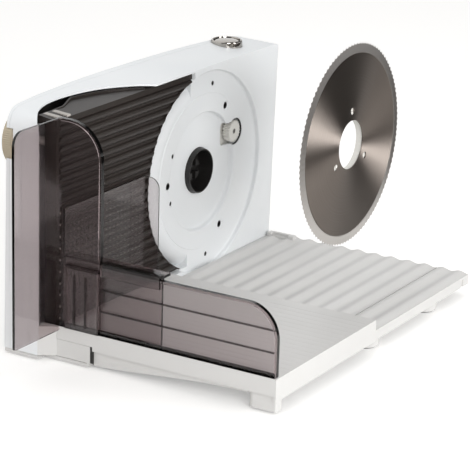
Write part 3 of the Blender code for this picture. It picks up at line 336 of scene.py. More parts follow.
def addNode(tree, kind, settings=None, links=None):
    # settings name a property or an input; links say {input: (node, output)}
    node = tree.nodes.new(kind)
    for key, value in (settings or {}).items():
        if isinstance(key, str) and hasattr(node, key):
            setattr(node, key, value)
        else:
            node.inputs[key].default_value = value
    for key, (source, output) in (links or {}).items():
        tree.links.new(source.outputs[output], node.inputs[key])
    return node


def mathNode(tree, how, *given):
    # each input is a number or a (node, output) pair
    step = addNode(tree, "ShaderNodeMath", {"operation": how})
    for index, value in enumerate(given):
        if isinstance(value, tuple):
            tree.links.new(value[0].outputs[value[1]], step.inputs[index])
        else:
            step.inputs[index].default_value = value
    return step


def noise(tree, coords, grain, detail):
    settings = {"Scale": 1 / (grain * mm), "Detail": detail}
    return addNode(tree, "ShaderNodeTexNoise", settings, {"Vector": (coords, "Object")})


def spread(tree, source, low, high):
    return addNode(tree, "ShaderNodeMapRange", {"To Min": low, "To Max": high}, {"Value": source})


def colourMix(tree, factor, first, second):
    mix = addNode(tree, "ShaderNodeMix", {"data_type": "RGBA"}, {0: factor})
    mix.inputs[6].default_value = hexColour(first)
    mix.inputs[7].default_value = hexColour(second)
    return mix


def plainFinish(name, colour, roughness, metallic=0.0, **more):
    finish = bpy.data.materials.new(name)
    finish.use_nodes = True
    tree = finish.node_tree
    shader = tree.nodes["Principled BSDF"]
    shader.inputs["Base Color"].default_value = hexColour(colour)
    shader.inputs["Roughness"].default_value = roughness
    shader.inputs["Metallic"].default_value = metallic
    for key, value in more.items():
        shader.inputs[key.replace("_", " ")].default_value = value
    return finish, tree, shader


def grained(name, colour, tint, roughness, grain, depth, metallic=0.0, **more):
    # moulded or cast: fine grain in the bump, a faint cloud in the tint and the gloss
    finish, tree, shader = plainFinish(name, colour, roughness, metallic, **more)
    coords = addNode(tree, "ShaderNodeTexCoord")
    fineNoise = noise(tree, coords, grain, 2.0)
    cloud = noise(tree, coords, 45, 2.0)
    rise = {"Strength": 0.35, "Distance": depth * mm}
    bump = addNode(tree, "ShaderNodeBump", rise, {"Height": (fineNoise, 0)})
    tree.links.new(bump.outputs["Normal"], shader.inputs["Normal"])
    mix = colourMix(tree, (cloud, 0), colour, tint)
    tree.links.new(mix.outputs[2], shader.inputs["Base Color"])
    gloss = spread(tree, (cloud, 0), roughness * 0.9, roughness * 1.1)
    tree.links.new(gloss.outputs[0], shader.inputs["Roughness"])
    return finish


def smokedPlastic(name, clear, density):
    # polished smoked plastic, darker the further one looks through it
    finish, tree, shader = plainFinish(name, "ffffff", 0.04, IOR=1.52)
    shader.inputs["Transmission Weight"].default_value = 1.0
    coords = addNode(tree, "ShaderNodeTexCoord")
    gloss = spread(tree, (noise(tree, coords, 60, 1.0), 0), 0.03, 0.06)
    tree.links.new(gloss.outputs[0], shader.inputs["Roughness"])
    path = addNode(tree, "ShaderNodeLightPath")
    through = addNode(tree, "ShaderNodeBsdfTransparent", {"Color": hexColour("f6f6f6")})
    links = {0: (path, "Is Shadow Ray"), 1: (shader, 0), 2: (through, 0)}
    both = addNode(tree, "ShaderNodeMixShader", None, links)
    tree.links.new(both.outputs[0], tree.nodes["Material Output"].inputs["Surface"])
    settings = {"Color": hexColour(clear), "Density": density}
    absorbed = addNode(tree, "ShaderNodeVolumeAbsorption", settings)
    tree.links.new(absorbed.outputs[0], tree.nodes["Material Output"].inputs["Volume"])
    return finish


def brushedSteel(name):
    # brushed round the axis on a lathe: the light gathers in wedges from the centre
    more = {"Anisotropic": 1.0, "Anisotropic_Rotation": 0.25}
    finish, tree, shader = plainFinish(name, "9d948d", 0.50, 1.0, **more)
    coords = addNode(tree, "ShaderNodeTexCoord")
    shift = {"Location": tuple(-v for v in discMiddle)}
    middle = addNode(tree, "ShaderNodeMapping", shift, {"Vector": (coords, "Object")})
    apart = addNode(tree, "ShaderNodeSeparateXYZ", None, {0: (middle, 0)})
    ySquare = mathNode(tree, "POWER", (apart, "Y"), 2.0)
    zSquare = mathNode(tree, "POWER", (apart, "Z"), 2.0)
    radius = mathNode(tree, "SQRT", (mathNode(tree, "ADD", (ySquare, 0), (zSquare, 0)), 0))
    settings = {"noise_dimensions": "1D", "Scale": 1 / (0.9 * mm), "Detail": 3.0}
    lines = addNode(tree, "ShaderNodeTexNoise", settings, {"W": (radius, 0)})
    gloss = spread(tree, (lines, 0), 0.46, 0.54)
    tree.links.new(gloss.outputs[0], shader.inputs["Roughness"])
    grooves = mathNode(tree, "MULTIPLY", (lines, 0), 0.012 * mm)
    # tilts the normals as on a slightly dished disc
    hollow = mathNode(tree, "MULTIPLY_ADD", (radius, 0), -0.30, (grooves, 0))
    rise = {"Strength": 1.0, "Distance": 1.0}
    bump = addNode(tree, "ShaderNodeBump", rise, {"Height": (hollow, 0)})
    tree.links.new(bump.outputs["Normal"], shader.inputs["Normal"])
    mix = colourMix(tree, (lines, 0), "958b84", "aca39c")
    tree.links.new(mix.outputs[2], shader.inputs["Base Color"])
    tangent = addNode(tree, "ShaderNodeTangent", {"direction_type": "RADIAL", "axis": "X"})
    tree.links.new(tangent.outputs[0], shader.inputs["Tangent"])
    return finish


bladeLow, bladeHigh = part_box("blade")
discMiddle = (bladeLow + bladeHigh) / 2
# name, colour, tint, roughness, grain and its depth in mm, metallic
whiteAbs = grained("white_abs_moulded", "e9ebec", "e4e7e9", 0.40, 0.7, 0.03)
warmAbs = grained("white_abs_ribbed", "d6d5d3", "d0cfcd", 0.42, 0.7, 0.03)
satin = {"Specular_IOR_Level": 0.4}
darkAbs = grained("dark_brown_abs_satin", "2e2825", "27221f", 0.36, 0.6, 0.03, **satin)
blackAbs = grained("black_nylon_moulded", "1b1a19", "232120", 0.38, 0.5, 0.03)
paleGrey = grained("pale_grey_abs", "b5b0aa", "aca7a1", 0.42, 0.6, 0.03)
blackened = grained("blackened_steel", "1a1917", "211f1d", 0.45, 0.5, 0.02, 0.6)
acetal = grained("natural_acetal", "e6e5e0", "dddbd5", 0.42, 0.6, 0.02)
greyRubber = grained("grey_rubber_foot", "8f8f8f", "858585", 0.85, 0.6, 0.05)
chrome = grained("chrome_plated_abs", "bcb8b2", "b3aea8", 0.09, 3.0, 0.01, 1.0)
champagne = grained("champagne_metallic_paint", "c9bea8", "c0b49d", 0.40, 0.35, 0.03, 0.55)
plainSteel = grained("drawn_steel", "a9a8a6", "9f9e9b", 0.32, 0.8, 0.02, 1.0)
groundSteel = grained("stainless_ground_edge", "dedad6", "d0ccc8", 0.36, 0.8, 0.02, 1.0)
# lighter than the plate the spikes stand on: partly their own grey, partly painted highlight
spikeGlintGrey = grained("grey_spikes_painted_highlight", "8f8a87", "86817e", 0.40, 0.5, 0.02)
bronze = grained("sintered_bronze", "9b7a48", "8c6d3f", 0.45, 0.4, 0.04, 1.0)
zincCan = grained("zinc_plated_can", "8e8f92", "828386", 0.38, 1.2, 0.02, 1.0)
boardGreen = grained("circuit_board", "1f4a2c", "1b4227", 0.5, 1.0, 0.02)
smoke = smokedPlastic("smoked_san_polished", "a08284", 300.0)
# a darker copy of the same plastic: painted shade where one looks along a rib
shadedSmoke = smokedPlastic("smoked_san_painted_dark", "6e5454", 1400.0)
bladeSteel = brushedSteel("stainless_lathe_brushed")
print("materials made")


# Housing

house = {
    "frontY": -frontToHub, "backY": 131.5, "leftX": -50.5, "partX": -40.5, "lowZ": 4.95, "highZ": 240.0,
    "backLean": 7.5, "backLowZ": 22.0, "cornerFront": 16.0, "cornerBack": 5.0, "sideLean": 4.5,
    "frontNarrow": 3.0, "curveY": -100.0, "curveX": -11.0, "edge": 2.0, "seam": 0.3, "lip": 1.5,
    "pocketFrontY": -250.0, "pocketLowZ": 24.5, "pocketBackX": -38.0, "faceY": -24.5,
    "lensStartY": -90.0, "lensLowZ": 206, "topY": -259.4, "topX": -11.4, "upperX": -41.2,
    "upperFrontY": -246, "upperBackY": -60, "upperLowZ": 205, "insideLowZ": 7.7, "insideBackY": 121.5,
    "insideHighZ": 211.0, "insideX": -13.2, "wall": 2.5, "sideHighZ": 213.5, "cornerX": -18.0,
    "cornerY": -249, "cornerLowZ": 26,
}
roofRows = (  # Y, height at the right edge, height at the left edge
    (-243.9, 215.5, 227.1), (-207.9, 217.5, 229.1), (-150.0, 218.6, 230.2), (-90.1, 219.0, 230.2),
    (-27.1, 219.2, 229.5), (50.1, 219.4, 227.1), (104.9, 219.2, 223.6), (126.4, 218.6, 220.3),
)
lensRows = (  # Y, inner edge of the top over the thickness plate
    (-90.0, 0.0), (-105.7, -8.7), (-126.8, -16.8), (-147.9, -23.1), (-173.2, -27.6), (-200.4, -30.0),
    (-222.8, -29.4), (-237.2, -25.8), (-245.0, -21.6), (-250.0, -18.3),
)


def roofLine(column, lower):
    rows = flowing([(row[0], row[column] - lower) for row in roofRows], 5)
    front = (rows[0][0], rows[0][1] - house["cornerFront"])
    back = (rows[-1][0], rows[-1][1] - house["cornerBack"])
    high = house["highZ"] + 200
    past = 300
    line = [(front[0] - past, high), (front[0] - past, front[1])]
    line += arc(front, house["cornerFront"], 180, 90, 14) + rows[1:-1]
    line += arc(back, house["cornerBack"], 90, 0, 8)
    return line + [(back[0] + past, back[1]), (back[0] + past, high)]


def aboveRoof(lower=0.0):
    return prism("x", house["leftX"], 0.1, roofLine(2, lower), roofLine(1, lower))


def leftX(y, z):
    # the left side leans in towards the top and narrows towards the front
    share = max(0.0, (house["curveY"] - y) / (house["curveY"] - house["frontY"]))
    return house["leftX"] + house["sideLean"] * z / house["highZ"] + house["frontNarrow"] * share ** 2


def leftOf(inset):
    steps = 20
    frontY, backY, past = house["frontY"] - 2, house["backY"] + 2, -300
    points = []
    for i in range(steps + 1):
        y = house["curveY"] + (frontY - house["curveY"]) * i / steps
        points.append((leftX(y, 0) + inset, y))
    points += [(past, frontY), (past, backY), (leftX(200, 0) + inset, backY)]
    tool = prism("z", 0, house["highZ"], points)
    lean = Matrix.Identity(4)
    lean[0][2] = house["sideLean"] / house["highZ"]
    tool.data.transform(lean)
    return tool


def rightOfCurve():
    steps = 24
    frontY = house["frontY"] - 2
    points = []
    for i in range(steps + 1):
        share = i / steps
        y = house["curveY"] + (frontY - house["curveY"]) * share
        points.append((house["curveX"] * math.sin(share * math.pi / 2), y))
    points += [(3, frontY), (3, house["curveY"])]
    return prism("z", -2, house["highZ"] + 2, points)


def outerForm():
    h = house
    lowBackY = h["backY"] - h["backLean"]
    side = [(h["frontY"], h["lowZ"]), (lowBackY, h["lowZ"]), (lowBackY, h["backLowZ"])]
    side += [(h["backY"], h["highZ"]), (h["frontY"], h["highZ"])]
    form = prism("x", h["leftX"], 0.0, side)
    cut(form, aboveRoof(), leftOf(0.0), rightOfCurve())
    return softEdges(form, h["edge"], 4, 38)


recess = {
    "r": 99.0, "depth": 5.0, "collarR": 76.5, "collarDepth": 4.5, "dishR": 58.0, "dishDepth": 10.7,
    "rimRound": 1.4, "floorRound": 1.6, "dishRim": 1.8, "dishRound": 2.2, "boreR": 22.9, "socketX": -24.0,
    "supportR": 77.0, "supportX": -2.2, "rollX": -4.6, "rollR": 18.5, "rollDepth": 19.4,
    "rampR": 95.5, "rampX": -39.2, "bossR": 25.4, "bossX": -26.5, "steps": 192,
    "backR": 74, "backX": -13.5, "backLowZ": 27,
}
knobSpot = {
    "y": -236.0, "z": 194.0, "r": 27.0, "outX": -47.0, "inX": -37.0, "play": 0.6, "cupWall": 2.5,
    "shaftR": 4.1, "ridges": 90, "perRidge": 4, "ridgeDepth": 0.3,
}
inlet = {"x": -30, "z": 30, "r": 7}
drive = {
    "y": 58.13, "z": 142.48, "openingR": 13.5, "lobeY": 40.3, "lobeEndY": 58, "lobeLowZ": 129.5,
    "lobeHighZ": 153.5, "shadeRingX": -6.6, "shadeRingOutX": -5.3,
}
switch = {"x": -30.0, "y": 80.0, "seatZ": 219.9, "topZ": 223.3, "seatR": 15.8, "boreR": 13.2, "boreZ": 208}
vent = {"slots": 6, "step": 6.0, "high": 2.2, "midZ": 109.3, "y": 72.7, "half": 11.2, "round": 1.05}
guidePins = {"y": -180, "z": (60, 185), "r": 3.0, "bossR": 8.2}
faceHoles = ((40.2, 57.2), (34.5, -62.1), (-60.3, -1.5))
holeSize = {"faceR": 3.2, "flare": 1.8, "pinR": 2.4}
pinHoles = ((14.9, 84.4), (-54.2, 26.8), (-56.3, -19.2), (9.3, -86.4))
screwSpots = ((-254.0, 17.2), (-254.0, 155.0), (112.0, 17.2), (112.0, 201.5))
hub = (0.0, 0.0, hubZ)


def hole(y, z, radius, low, high, steps=32):
    return drum("x", (0, y, z), radius, low, high, steps)


def flaredHole(y, z, radius, low, flare):
    # its mouth on the floor of the recess is broken by a small rounded edge
    floor = -recess["depth"]
    profile = [(0, 3), (radius + flare, 3), (radius + flare, floor)]
    for angle in (20, 40, 60, 90):
        turn = math.radians(angle)
        profile.append((radius + flare * (1 - math.sin(turn)), floor - flare * (1 - math.cos(turn))))
    return turned("x", (0, y, z), profile + [(radius, low), (0, low)], 40)


def brokenRim(radius, height, size):
    return [(radius + size - c[0], height - size + c[1]) for c in arc((0, 0), size, 90, 0, 5)]


def roundedFoot(radius, floor, size, steps):
    return [(radius - size + c[0], floor + size + c[1]) for c in arc((0, 0), size, 0, -90, steps)]


def rampForm():
    # round support of the blade, rolling back to lead the slices away
    r = recess
    outline = [(0, r["supportX"]), (r["supportR"], r["supportX"]), (r["supportR"], r["rollX"])]
    for i in range(1, 19):
        turn = math.radians(90 * i / 18)
        x = r["rollX"] - r["rollDepth"] * (1 - math.cos(turn))
        outline.append((r["supportR"] + r["rollR"] * math.sin(turn), x))
    outline += [(r["rampR"], r["rampX"]), (0, r["rampX"])]
    ramp = turned("x", hub, outline, r["steps"])
    kept(ramp, region(highY=house["faceY"] + 1.2))
    return cut(ramp, region(highZ=house["pocketLowZ"] - 0.3))


def recessForm():
    r = recess
    floor, collar, dish = -r["depth"], -r["collarDepth"], -r["dishDepth"]
    profile = [(0, 3), (r["r"] + r["rimRound"], 3)]
    profile += brokenRim(r["r"], 0, r["rimRound"]) + roundedFoot(r["r"], floor, r["floorRound"], 5)
    profile += [(r["collarR"] + 0.5, floor), (r["collarR"], collar), (r["dishR"] + r["dishRim"], collar)]
    profile += brokenRim(r["dishR"], collar, r["dishRim"])
    profile += roundedFoot(r["dishR"], dish, r["dishRound"], 6) + [(0, dish)]
    return turned("x", hub, profile, r["steps"])


def lobe(inset, corner, low, high):
    # square side of the pinion's opening, towards the recess's middle
    d = drive
    y, lowZ, highZ = d["lobeY"] + inset, d["lobeLowZ"] + inset, d["lobeHighZ"] - inset
    ends = [(y, lowZ, corner), (d["lobeEndY"], lowZ, 2), (d["lobeEndY"], highZ, 2), (y, highZ, corner)]
    return prism("x", low, high, roundedPath(ends))


def makeOpeningShade():
    # painted shade: a thin black ring just inside the pinion's opening, standing for its shadow gap
    d = drive
    paintedShade = hole(d["y"], d["z"], d["openingR"] - 0.05, d["shadeRingX"], d["shadeRingOutX"], 64)
    joined(paintedShade, lobe(0.05, 5, d["shadeRingX"], d["shadeRingOutX"]))
    gap = hole(d["y"], d["z"], d["openingR"] - 0.9, -20, 0, 64)
    joined(gap, lobe(0.9, 4, -20, 0))
    cut(paintedShade, gap, hole(0, hubZ, recess["dishR"] + 0.4, -20, 0, 96))
    settle(paintedShade, "opening_painted_shade", "housing", blackAbs, ["main_housing"], 40)


def makeHoleShades():
    # painted shade: black tubes inside the face holes and black plugs down the pin holes, so that the holes
    # read dark
    tube = [(3.19, -5.7), (3.19, -11.4), (2.6, -11.4), (2.6, -5.7)]
    plug = [(0, -9.0), (2.39, -9.0), (2.39, -5.4), (2.1, -5.4), (0, -6.8)]
    holeShades = [turned("x", (0, y, hubZ + up), tube, 32) for y, up in faceHoles]
    holeShades += [turned("x", (0, y, hubZ + up), plug, 24) for y, up in pinHoles]
    settle(gathered(holeShades), "hole_painted_shade", "housing", blackAbs, ["main_housing"], 40)


def makePaintedShadeStrips():
    # painted shade: thin black strips under the top, behind the thickness plate's edge, so that the gap there
    # reads dark
    shades = []
    for x, frontY, backY in ((-34.2, -249, -210), (-42.15, -209.5, -112)):
        shade = block((x, frontY, house["lensLowZ"]), (x + 0.3, backY, house["highZ"]))
        shades.append(cut(shade, aboveRoof(house["lip"] + 0.2)))
    settle(gathered(shades), "painted_shade_strips", "housing", blackAbs, ["main_housing"])


def switchSeat():
    centre = (switch["x"], switch["y"], 0)
    bore = drum("z", centre, switch["boreR"], switch["boreZ"], 260, 64)
    return bore, drum("z", centre, switch["seatR"], switch["seatZ"], 260, 96)


def cutPocket(shell):
    # the thickness plate's pocket, under the thin lip of the top
    h = house
    pocket = block((h["pocketBackX"], h["pocketFrontY"], h["pocketLowZ"]), (4, h["faceY"], h["highZ"]))
    cut(pocket, aboveRoof(h["lip"]))
    lens = flowing([(x, y) for y, x in lensRows], 6)
    lens += [(h["topX"], h["topY"]), (4, h["topY"]), (4, h["lensStartY"])]
    upper = block((h["upperX"], h["upperFrontY"], h["upperLowZ"]), (4, h["upperBackY"], h["highZ"]))
    cut(upper, aboveRoof(h["lip"]))
    corner = [(h["cornerX"], h["cornerY"]), (h["topX"], h["topY"]), (4, h["topY"]), (4, h["cornerY"])]
    cut(shell, upper, prism("z", h["cornerLowZ"], h["highZ"], corner))
    cut(shell, softEdges(pocket, 1.2, 3, 60), prism("z", h["lensLowZ"], h["highZ"] + 4, lens))


def makeRightShell(shell):
    h, r = house, recess
    kept(shell, region(lowX=h["partX"]))
    cutPocket(shell)
    # hollow behind the face
    low = (h["partX"] - 3, h["faceY"] + h["wall"], h["insideLowZ"])
    cut(shell, block(low, (h["insideX"], h["insideBackY"], h["insideHighZ"])))
    joined(shell, rampForm())
    behind = hole(0, hubZ, r["backR"], -45, r["backX"], 64)
    cut(behind, region(highZ=r["backLowZ"]))
    cut(shell, behind)
    cut(shell, recessForm())
    joined(shell, hole(0, hubZ, r["bossR"], r["bossX"], -r["dishDepth"] - 1.2, 64))
    cut(shell, hole(0, hubZ, r["boreR"], r["socketX"], 4, 128))
    cut(shell, hole(drive["y"], drive["z"], drive["openingR"], -16, 4, 64), lobe(0, 5, -16.1, 4.1))
    for y, up in faceHoles:
        cut(shell, flaredHole(y, hubZ + up, holeSize["faceR"], -44, holeSize["flare"]))
    for y, up in pinHoles:
        cut(shell, hole(y, hubZ + up, holeSize["pinR"], -12.5, 4, 24))
    addCup(shell)
    for z in guidePins["z"]:
        cut(shell, hole(guidePins["y"], z, guidePins["r"] + 0.1, -45, 3, 32))
    cut(shell, *switchSeat())
    cut(shell, drum("y", (inlet["x"], 0, inlet["z"]), inlet["r"], 110, 140, 48))
    settle(shell, "housing_shell", "housing", whiteAbs, ["main_housing"])


def addCup(shell):
    # the knob's cup, open to the left, with the bore of the shaft
    h, k = house, knobSpot
    well = k["r"] + k["play"]
    cup = hole(k["y"], k["z"], well + k["cupWall"], -39.2, k["inX"] + 2.8, 64)
    joined(cup, block((-38.6, -251.2, k["z"]), (k["inX"] + k["cupWall"], k["y"], k["z"] + 30)))
    cut(cup, aboveRoof(0.8), region(highY=h["frontY"] + h["wall"]))
    joined(shell, cup)
    cut(shell, hole(k["y"], k["z"], well, -45, k["inX"] + 0.3, 96))
    cut(shell, hole(k["y"], k["z"], k["shaftR"], -45, k["inX"] + 4.5, 32))


def makeLeftShell(shell):
    h, k = house, knobSpot
    kept(shell, region(highX=h["partX"] - h["seam"]))
    low = (h["leftX"] + h["wall"], h["pocketFrontY"], h["insideLowZ"])
    inside = block(low, (h["partX"] + 3, h["insideBackY"], h["sideHighZ"]))
    cut(inside, hole(k["y"], k["z"], k["r"] + 5, -60, -35, 64), leftOf(h["wall"]))
    # room for the thickness plate's ledge
    relief = block((h["upperX"] - 1, h["upperFrontY"], h["upperLowZ"]), (-38, -110, h["highZ"]))
    cut(relief, aboveRoof(h["lip"]))
    cut(shell, inside, relief)
    for y, z in screwSpots:
        x = leftX(y, z)
        joined(shell, hole(y, z, 4.3, x + 1.2, h["partX"] - 0.6, 32))
        cut(shell, hole(y, z, 1.8, -60, h["partX"] + 1, 24), hole(y, z, 3.4, -60, x + 1.9, 40))
    cut(shell, hole(k["y"], k["z"], k["r"] + k["play"], -60, -35, 96))
    bore, seat = switchSeat()
    cut(shell, seat, bore)
    cutVent(shell)
    settle(shell, "side_shell", "housing", whiteAbs, ["side_cover"])


def cutVent(shell):
    v = vent
    frontY, backY = v["y"] - v["half"], v["y"] + v["half"]
    for i in range(v["slots"]):
        low = v["midZ"] - v["slots"] * v["step"] / 2 + i * v["step"]
        high = low + v["high"]
        ends = ((frontY, low), (backY, low), (backY, high), (frontY, high))
        ends = [(y, z, v["round"]) for y, z in ends]
        cut(shell, prism("x", -55, leftX(v["y"], low) + 3.5, roundedPath(ends, 4)))


leftForm = outerForm()
makeRightShell(newObject("half", leftForm.data.copy()))
makeOpeningShade()
makeHoleShades()
makePaintedShadeStrips()
makeLeftShell(leftForm)
print("housing made")


# Thickness plate

fence = {
    "x": -3.0, "backX": -16.5, "frontY": -244.0, "backY": -25.1, "lowZ": 26.5, "ribHighZ": 210.5,
    "cutR": 96.5, "ribs": 20, "ribDepth": 2.3, "skin": 3.5, "topZ": 216.2, "ledge": 0.4,
    "cupX": -21.5, "cupY": -208.0, "cupSlope": 0.35, "insideHighZ": 207, "upstandZ": 213.5, "upstandT": 1.4,
}
ribWave = (  # share of the pitch, rise out of the narrow valley
    (0.18, 0.0), (0.26, 0.35), (0.38, 0.68), (0.52, 0.90), (0.68, 1.0), (0.82, 0.97), (0.92, 0.72),
    (0.97, 0.2),
)


def ribbedFace():
    f = fence
    valley, flat, high = f["x"] - f["ribDepth"], f["x"] - 0.4, house["highZ"]
    pitch = (f["ribHighZ"] - f["lowZ"]) / f["ribs"]
    section = [(f["backX"], f["lowZ"]), (valley, f["lowZ"])]
    for i in range(f["ribs"]):
        low = f["lowZ"] + pitch * i
        for share, rise in ribWave:
            section.append((f["x"] - f["ribDepth"] * (1 - rise), low + pitch * share))
    section += [(valley, f["ribHighZ"]), (flat, f["ribHighZ"] + 0.6), (flat, high), (f["backX"], high)]
    plate = prism("y", f["frontY"] + 5, f["backY"], section)
    end = block((f["backX"], f["frontY"], f["lowZ"]), (f["x"] - 0.8, f["frontY"] + 5.5, high))
    return joined(plate, softEdges(end, 0.8, 3, 60))


def plateEdge():
    # follows the top's edge, clear of the knob's cup and back to the edge behind it
    f = fence
    edge = [(x + f["ledge"], y) for x, y in flowing([(x, y) for y, x in lensRows], 6)]
    return [(max(x, f["cupX"] - f["cupSlope"] * max(0.0, y - f["cupY"])), y) for x, y in edge]


def addLedge(plate):
    f = fence
    ledge = [(x, y) for x, y in plateEdge() if f["frontY"] < y and x < f["backX"] - 0.5]
    ledge += [(ledge[-1][0], f["frontY"]), (f["backX"] + 2, f["frontY"]), (f["backX"] + 2, ledge[0][1])]
    joined(plate, prism("z", f["ribHighZ"] + 1.0, house["highZ"], ledge))


def addRim(plate):
    # smooth rim round the blade, under the sloped top of the plate
    f = fence
    face, inner, outer = f["x"] - 0.5, f["cutR"] - 2, f["cutR"] + 1.2
    rim = turned("x", hub, [(inner, face), (outer, face), (outer, f["backX"]), (inner, f["backX"])], 192)
    kept(rim, region(lowY=f["frontY"] + 8, highY=f["backY"], lowZ=f["lowZ"], highZ=f["ribHighZ"]))
    joined(plate, rim)
    above = [(5, f["topZ"] - 1.2), (5, 260), (-60, 260), (-60, f["topZ"] + 8.9)]
    cut(plate, prism("y", -300, 20, above), hole(0, hubZ, f["cutR"], -60, 10, 192))


def addUpstand(plate):
    # thin wall along the edge of the top, so that the gap stays dark
    f = fence
    strip = [(x, y) for x, y in plateEdge() if y > f["frontY"] + 7 and x < -6]
    strip += [(x + f["upstandT"], y) for x, y in reversed(strip)]
    upstand = prism("z", f["upstandZ"], house["highZ"], strip)
    joined(plate, cut(upstand, aboveRoof(house["lip"] + 0.9)))


def hollowPlate(plate):
    f, k, g = fence, knobSpot, guidePins
    skin = f["x"] - f["skin"]
    low = (f["backX"] - 5, f["frontY"] + f["skin"], f["lowZ"] + f["skin"])
    inside = block(low, (skin, 0, f["insideHighZ"]))
    cut(inside, hole(0, hubZ, f["cutR"] + f["skin"], -60, 10, 96))
    for z in g["z"]:
        cut(inside, hole(g["y"], z, g["bossR"] + 1.3, -60, 10, 32))
    cut(inside, hole(k["y"], k["z"], k["shaftR"] + 3, -60, 10, 32))
    cut(plate, inside)
    for z in g["z"]:
        joined(plate, hole(g["y"], z, g["bossR"], f["backX"] - 8.5, f["backX"] + 2.5, 32))
        cut(plate, hole(g["y"], z, g["r"] + 0.08, f["backX"] - 12, skin, 32))
    cut(plate, hole(k["y"], k["z"], k["shaftR"] - 0.02, f["backX"] - 2, skin, 32))


def makeFence():
    plate = ribbedFace()
    addLedge(plate)
    addRim(plate)
    addUpstand(plate)
    hollowPlate(plate)
    plate = softEdges(plate, 0.25, 2, 60)
    settle(plate, "ribbed_plate", "thickness_plate_body", darkAbs, ["thickness_plate"], 40)


def makeClips():
    f = fence
    body, high = "thickness_plate_body", f["x"] - 0.6
    clips = []
    for y, low in ((-238.0, f["x"] - 18.0), (-226.5, f["x"] - 17.0)):
        floor = f["topZ"] - 1.0
        side = [(low, floor), (high, floor), (high, f["topZ"] + 1.7), (low, f["topZ"] + 3.0)]
        clips.append(softEdges(prism("y", y, y + 5.6, side), 0.3, 2, 60))
    clips = gathered(clips)
    settle(clips, "plate_end_clips", body, paleGrey, ["thickness_plate"], 40)


makeFence()
makeClips()
print("thickness plate made")


# Base, deck and carriage

deck = {
    "leftX": 0.3, "rightX": 223.5, "frontY": -88.0, "backY": 128.5, "midZ": 21.2, "wave": 1.0, "pitch": 18.6,
    "t": 2.8, "skirtZ": 10.5, "flat": 0.6, "grooveX": 189.5, "grooveW": 1.4, "grooveDepth": 1.2,
    "skirtX": 38.3, "skirtT": 2.3, "notchX": 3.4, "notchY": -69.0, "postX": 207, "postY": (62, -56),
    "postR": 13, "postHoleR": 11.3, "lipLowY": 116, "lipHighY": 124, "lipZ": 25.0,
}
tray = {
    "leftX": 3.6, "rightX": 226.8, "frontY": -250.5, "backY": -72.6, "highZ": 33.0, "t": 3.0, "ribPitch": 9.1,
    "ribY": -243.0, "bandZ": 17.0, "leftBandZ": 21.0, "slitX": 41.2, "footX": 198.0, "footZ": 2.5,
    "footY": 2.2, "footBackY": 11.6, "footWall": 2.5, "archZ": 3.0, "archRise": 11.5, "wall": 2.6,
}
base = {
    "frontY": -259.9, "stepY": -250.8, "backY": -247.9, "leftX": -12.6, "cornerX": 3.2, "rightX": 38.6,
    "lowZ": 4.95, "cornerHighZ": 32.4, "apronHighZ": 20.8,
}


def wavedTop():
    d = deck
    steps = 240
    span = d["rightX"] - d["flat"] - d["leftX"]
    low = d["midZ"] - d["wave"] - d["t"]
    outline = [(d["leftX"], low)]
    for i in range(steps + 1):
        x = d["leftX"] + span * i / steps
        outline.append((x, d["midZ"] - d["wave"] * math.cos(math.tau * (x - d["leftX"]) / d["pitch"])))
    innerX = d["rightX"] - d["t"]
    outline += [(d["rightX"], d["midZ"] - 1.0), (d["rightX"], d["skirtZ"])]
    outline += [(innerX, d["skirtZ"]), (innerX, low)]
    return prism("y", d["frontY"], d["backY"], outline)


def makeDeck():
    d = deck
    plate = wavedTop()
    high = d["midZ"] - d["wave"] - d["t"] + 0.5
    for y in (d["backY"] - 0.5 - d["skirtT"], d["frontY"] + 0.5):
        joined(plate, block((d["skirtX"], y, d["skirtZ"]), (d["rightX"] - 0.5, y + d["skirtT"], high)))
    cut(plate, region(highX=d["notchX"], highY=d["notchY"]))
    joined(plate, block((5.4, 112.3, 16.3), (36, 127.5, high)))
    for y in d["postY"]:
        centre, r = (d["postX"], y, 0), d["postR"]
        post = [(0, high), (r, high), (r + 1, 3.2), (r + 0.4, 1.8), (0, 1.8)]
        joined(plate, turned("z", centre, post, 64))
        cut(plate, drum("z", centre, d["postHoleR"], -2, 3.3, 64))
    # raised lip at the back left, with its notch
    lip = block((2.5, d["lipLowY"], 19.9), (33, d["lipHighY"], d["lipZ"]))
    joined(plate, softEdges(lip, 0.9, 3, 60))
    notch = [(7, 112, 0.5), (27, 112, 0.5), (27, 119.6, 2.2), (7, 119.6, 2.2)]
    cut(plate, prism("z", 22.6, 27, roundedPath(notch, 5)))
    floorZ = d["midZ"] - d["grooveDepth"]
    cut(plate, region(lowX=d["grooveX"], highX=d["grooveX"] + d["grooveW"], lowZ=floorZ))
    # slot in the right skirt
    slot = [(112.5, 8, 0), (117.5, 8, 0), (117.5, 18, 1.2), (112.5, 18, 1.2)]
    cut(plate, prism("x", d["rightX"] - 1.4, d["rightX"] + 3, roundedPath(slot, 4)))
    settle(softEdges(plate, 0.35, 2, 50), "waved_deck", "housing", warmAbs, ["deck"], 40)


def trayTop():
    # shallow steps along Y, as the section seen from the side
    t = tray
    low, high = t["highZ"] - t["t"], t["highZ"]
    top = [(t["frontY"], low), (t["frontY"], high)]
    for i in range(int((t["backY"] - 2 - t["ribY"]) / t["ribPitch"])):
        y = t["ribY"] + t["ribPitch"] * i
        top += [(y, high), (y + 0.5, high - 0.55), (y + 1.1, high - 0.55), (y + 2.2, high)]
    return prism("x", t["leftX"], t["rightX"], top + [(t["backY"], high), (t["backY"], low)])


def archedSkirt(mid):
    t = tray
    front = t["frontY"]
    arch = []
    for i in range(31):
        share = i / 30
        z = t["archZ"] + t["archRise"] * math.sin(share * math.pi / 2) ** 1.5
        arch.append((t["slitX"] + (t["footX"] - t["slitX"]) * share, z))
    arch += [(t["footX"], mid), (t["slitX"], mid)]
    skirt = prism("y", front + 1.3, front + 5.6, arch)
    return cut(skirt, region(highY=front + 3, highZ=t["bandZ"] - 0.3))


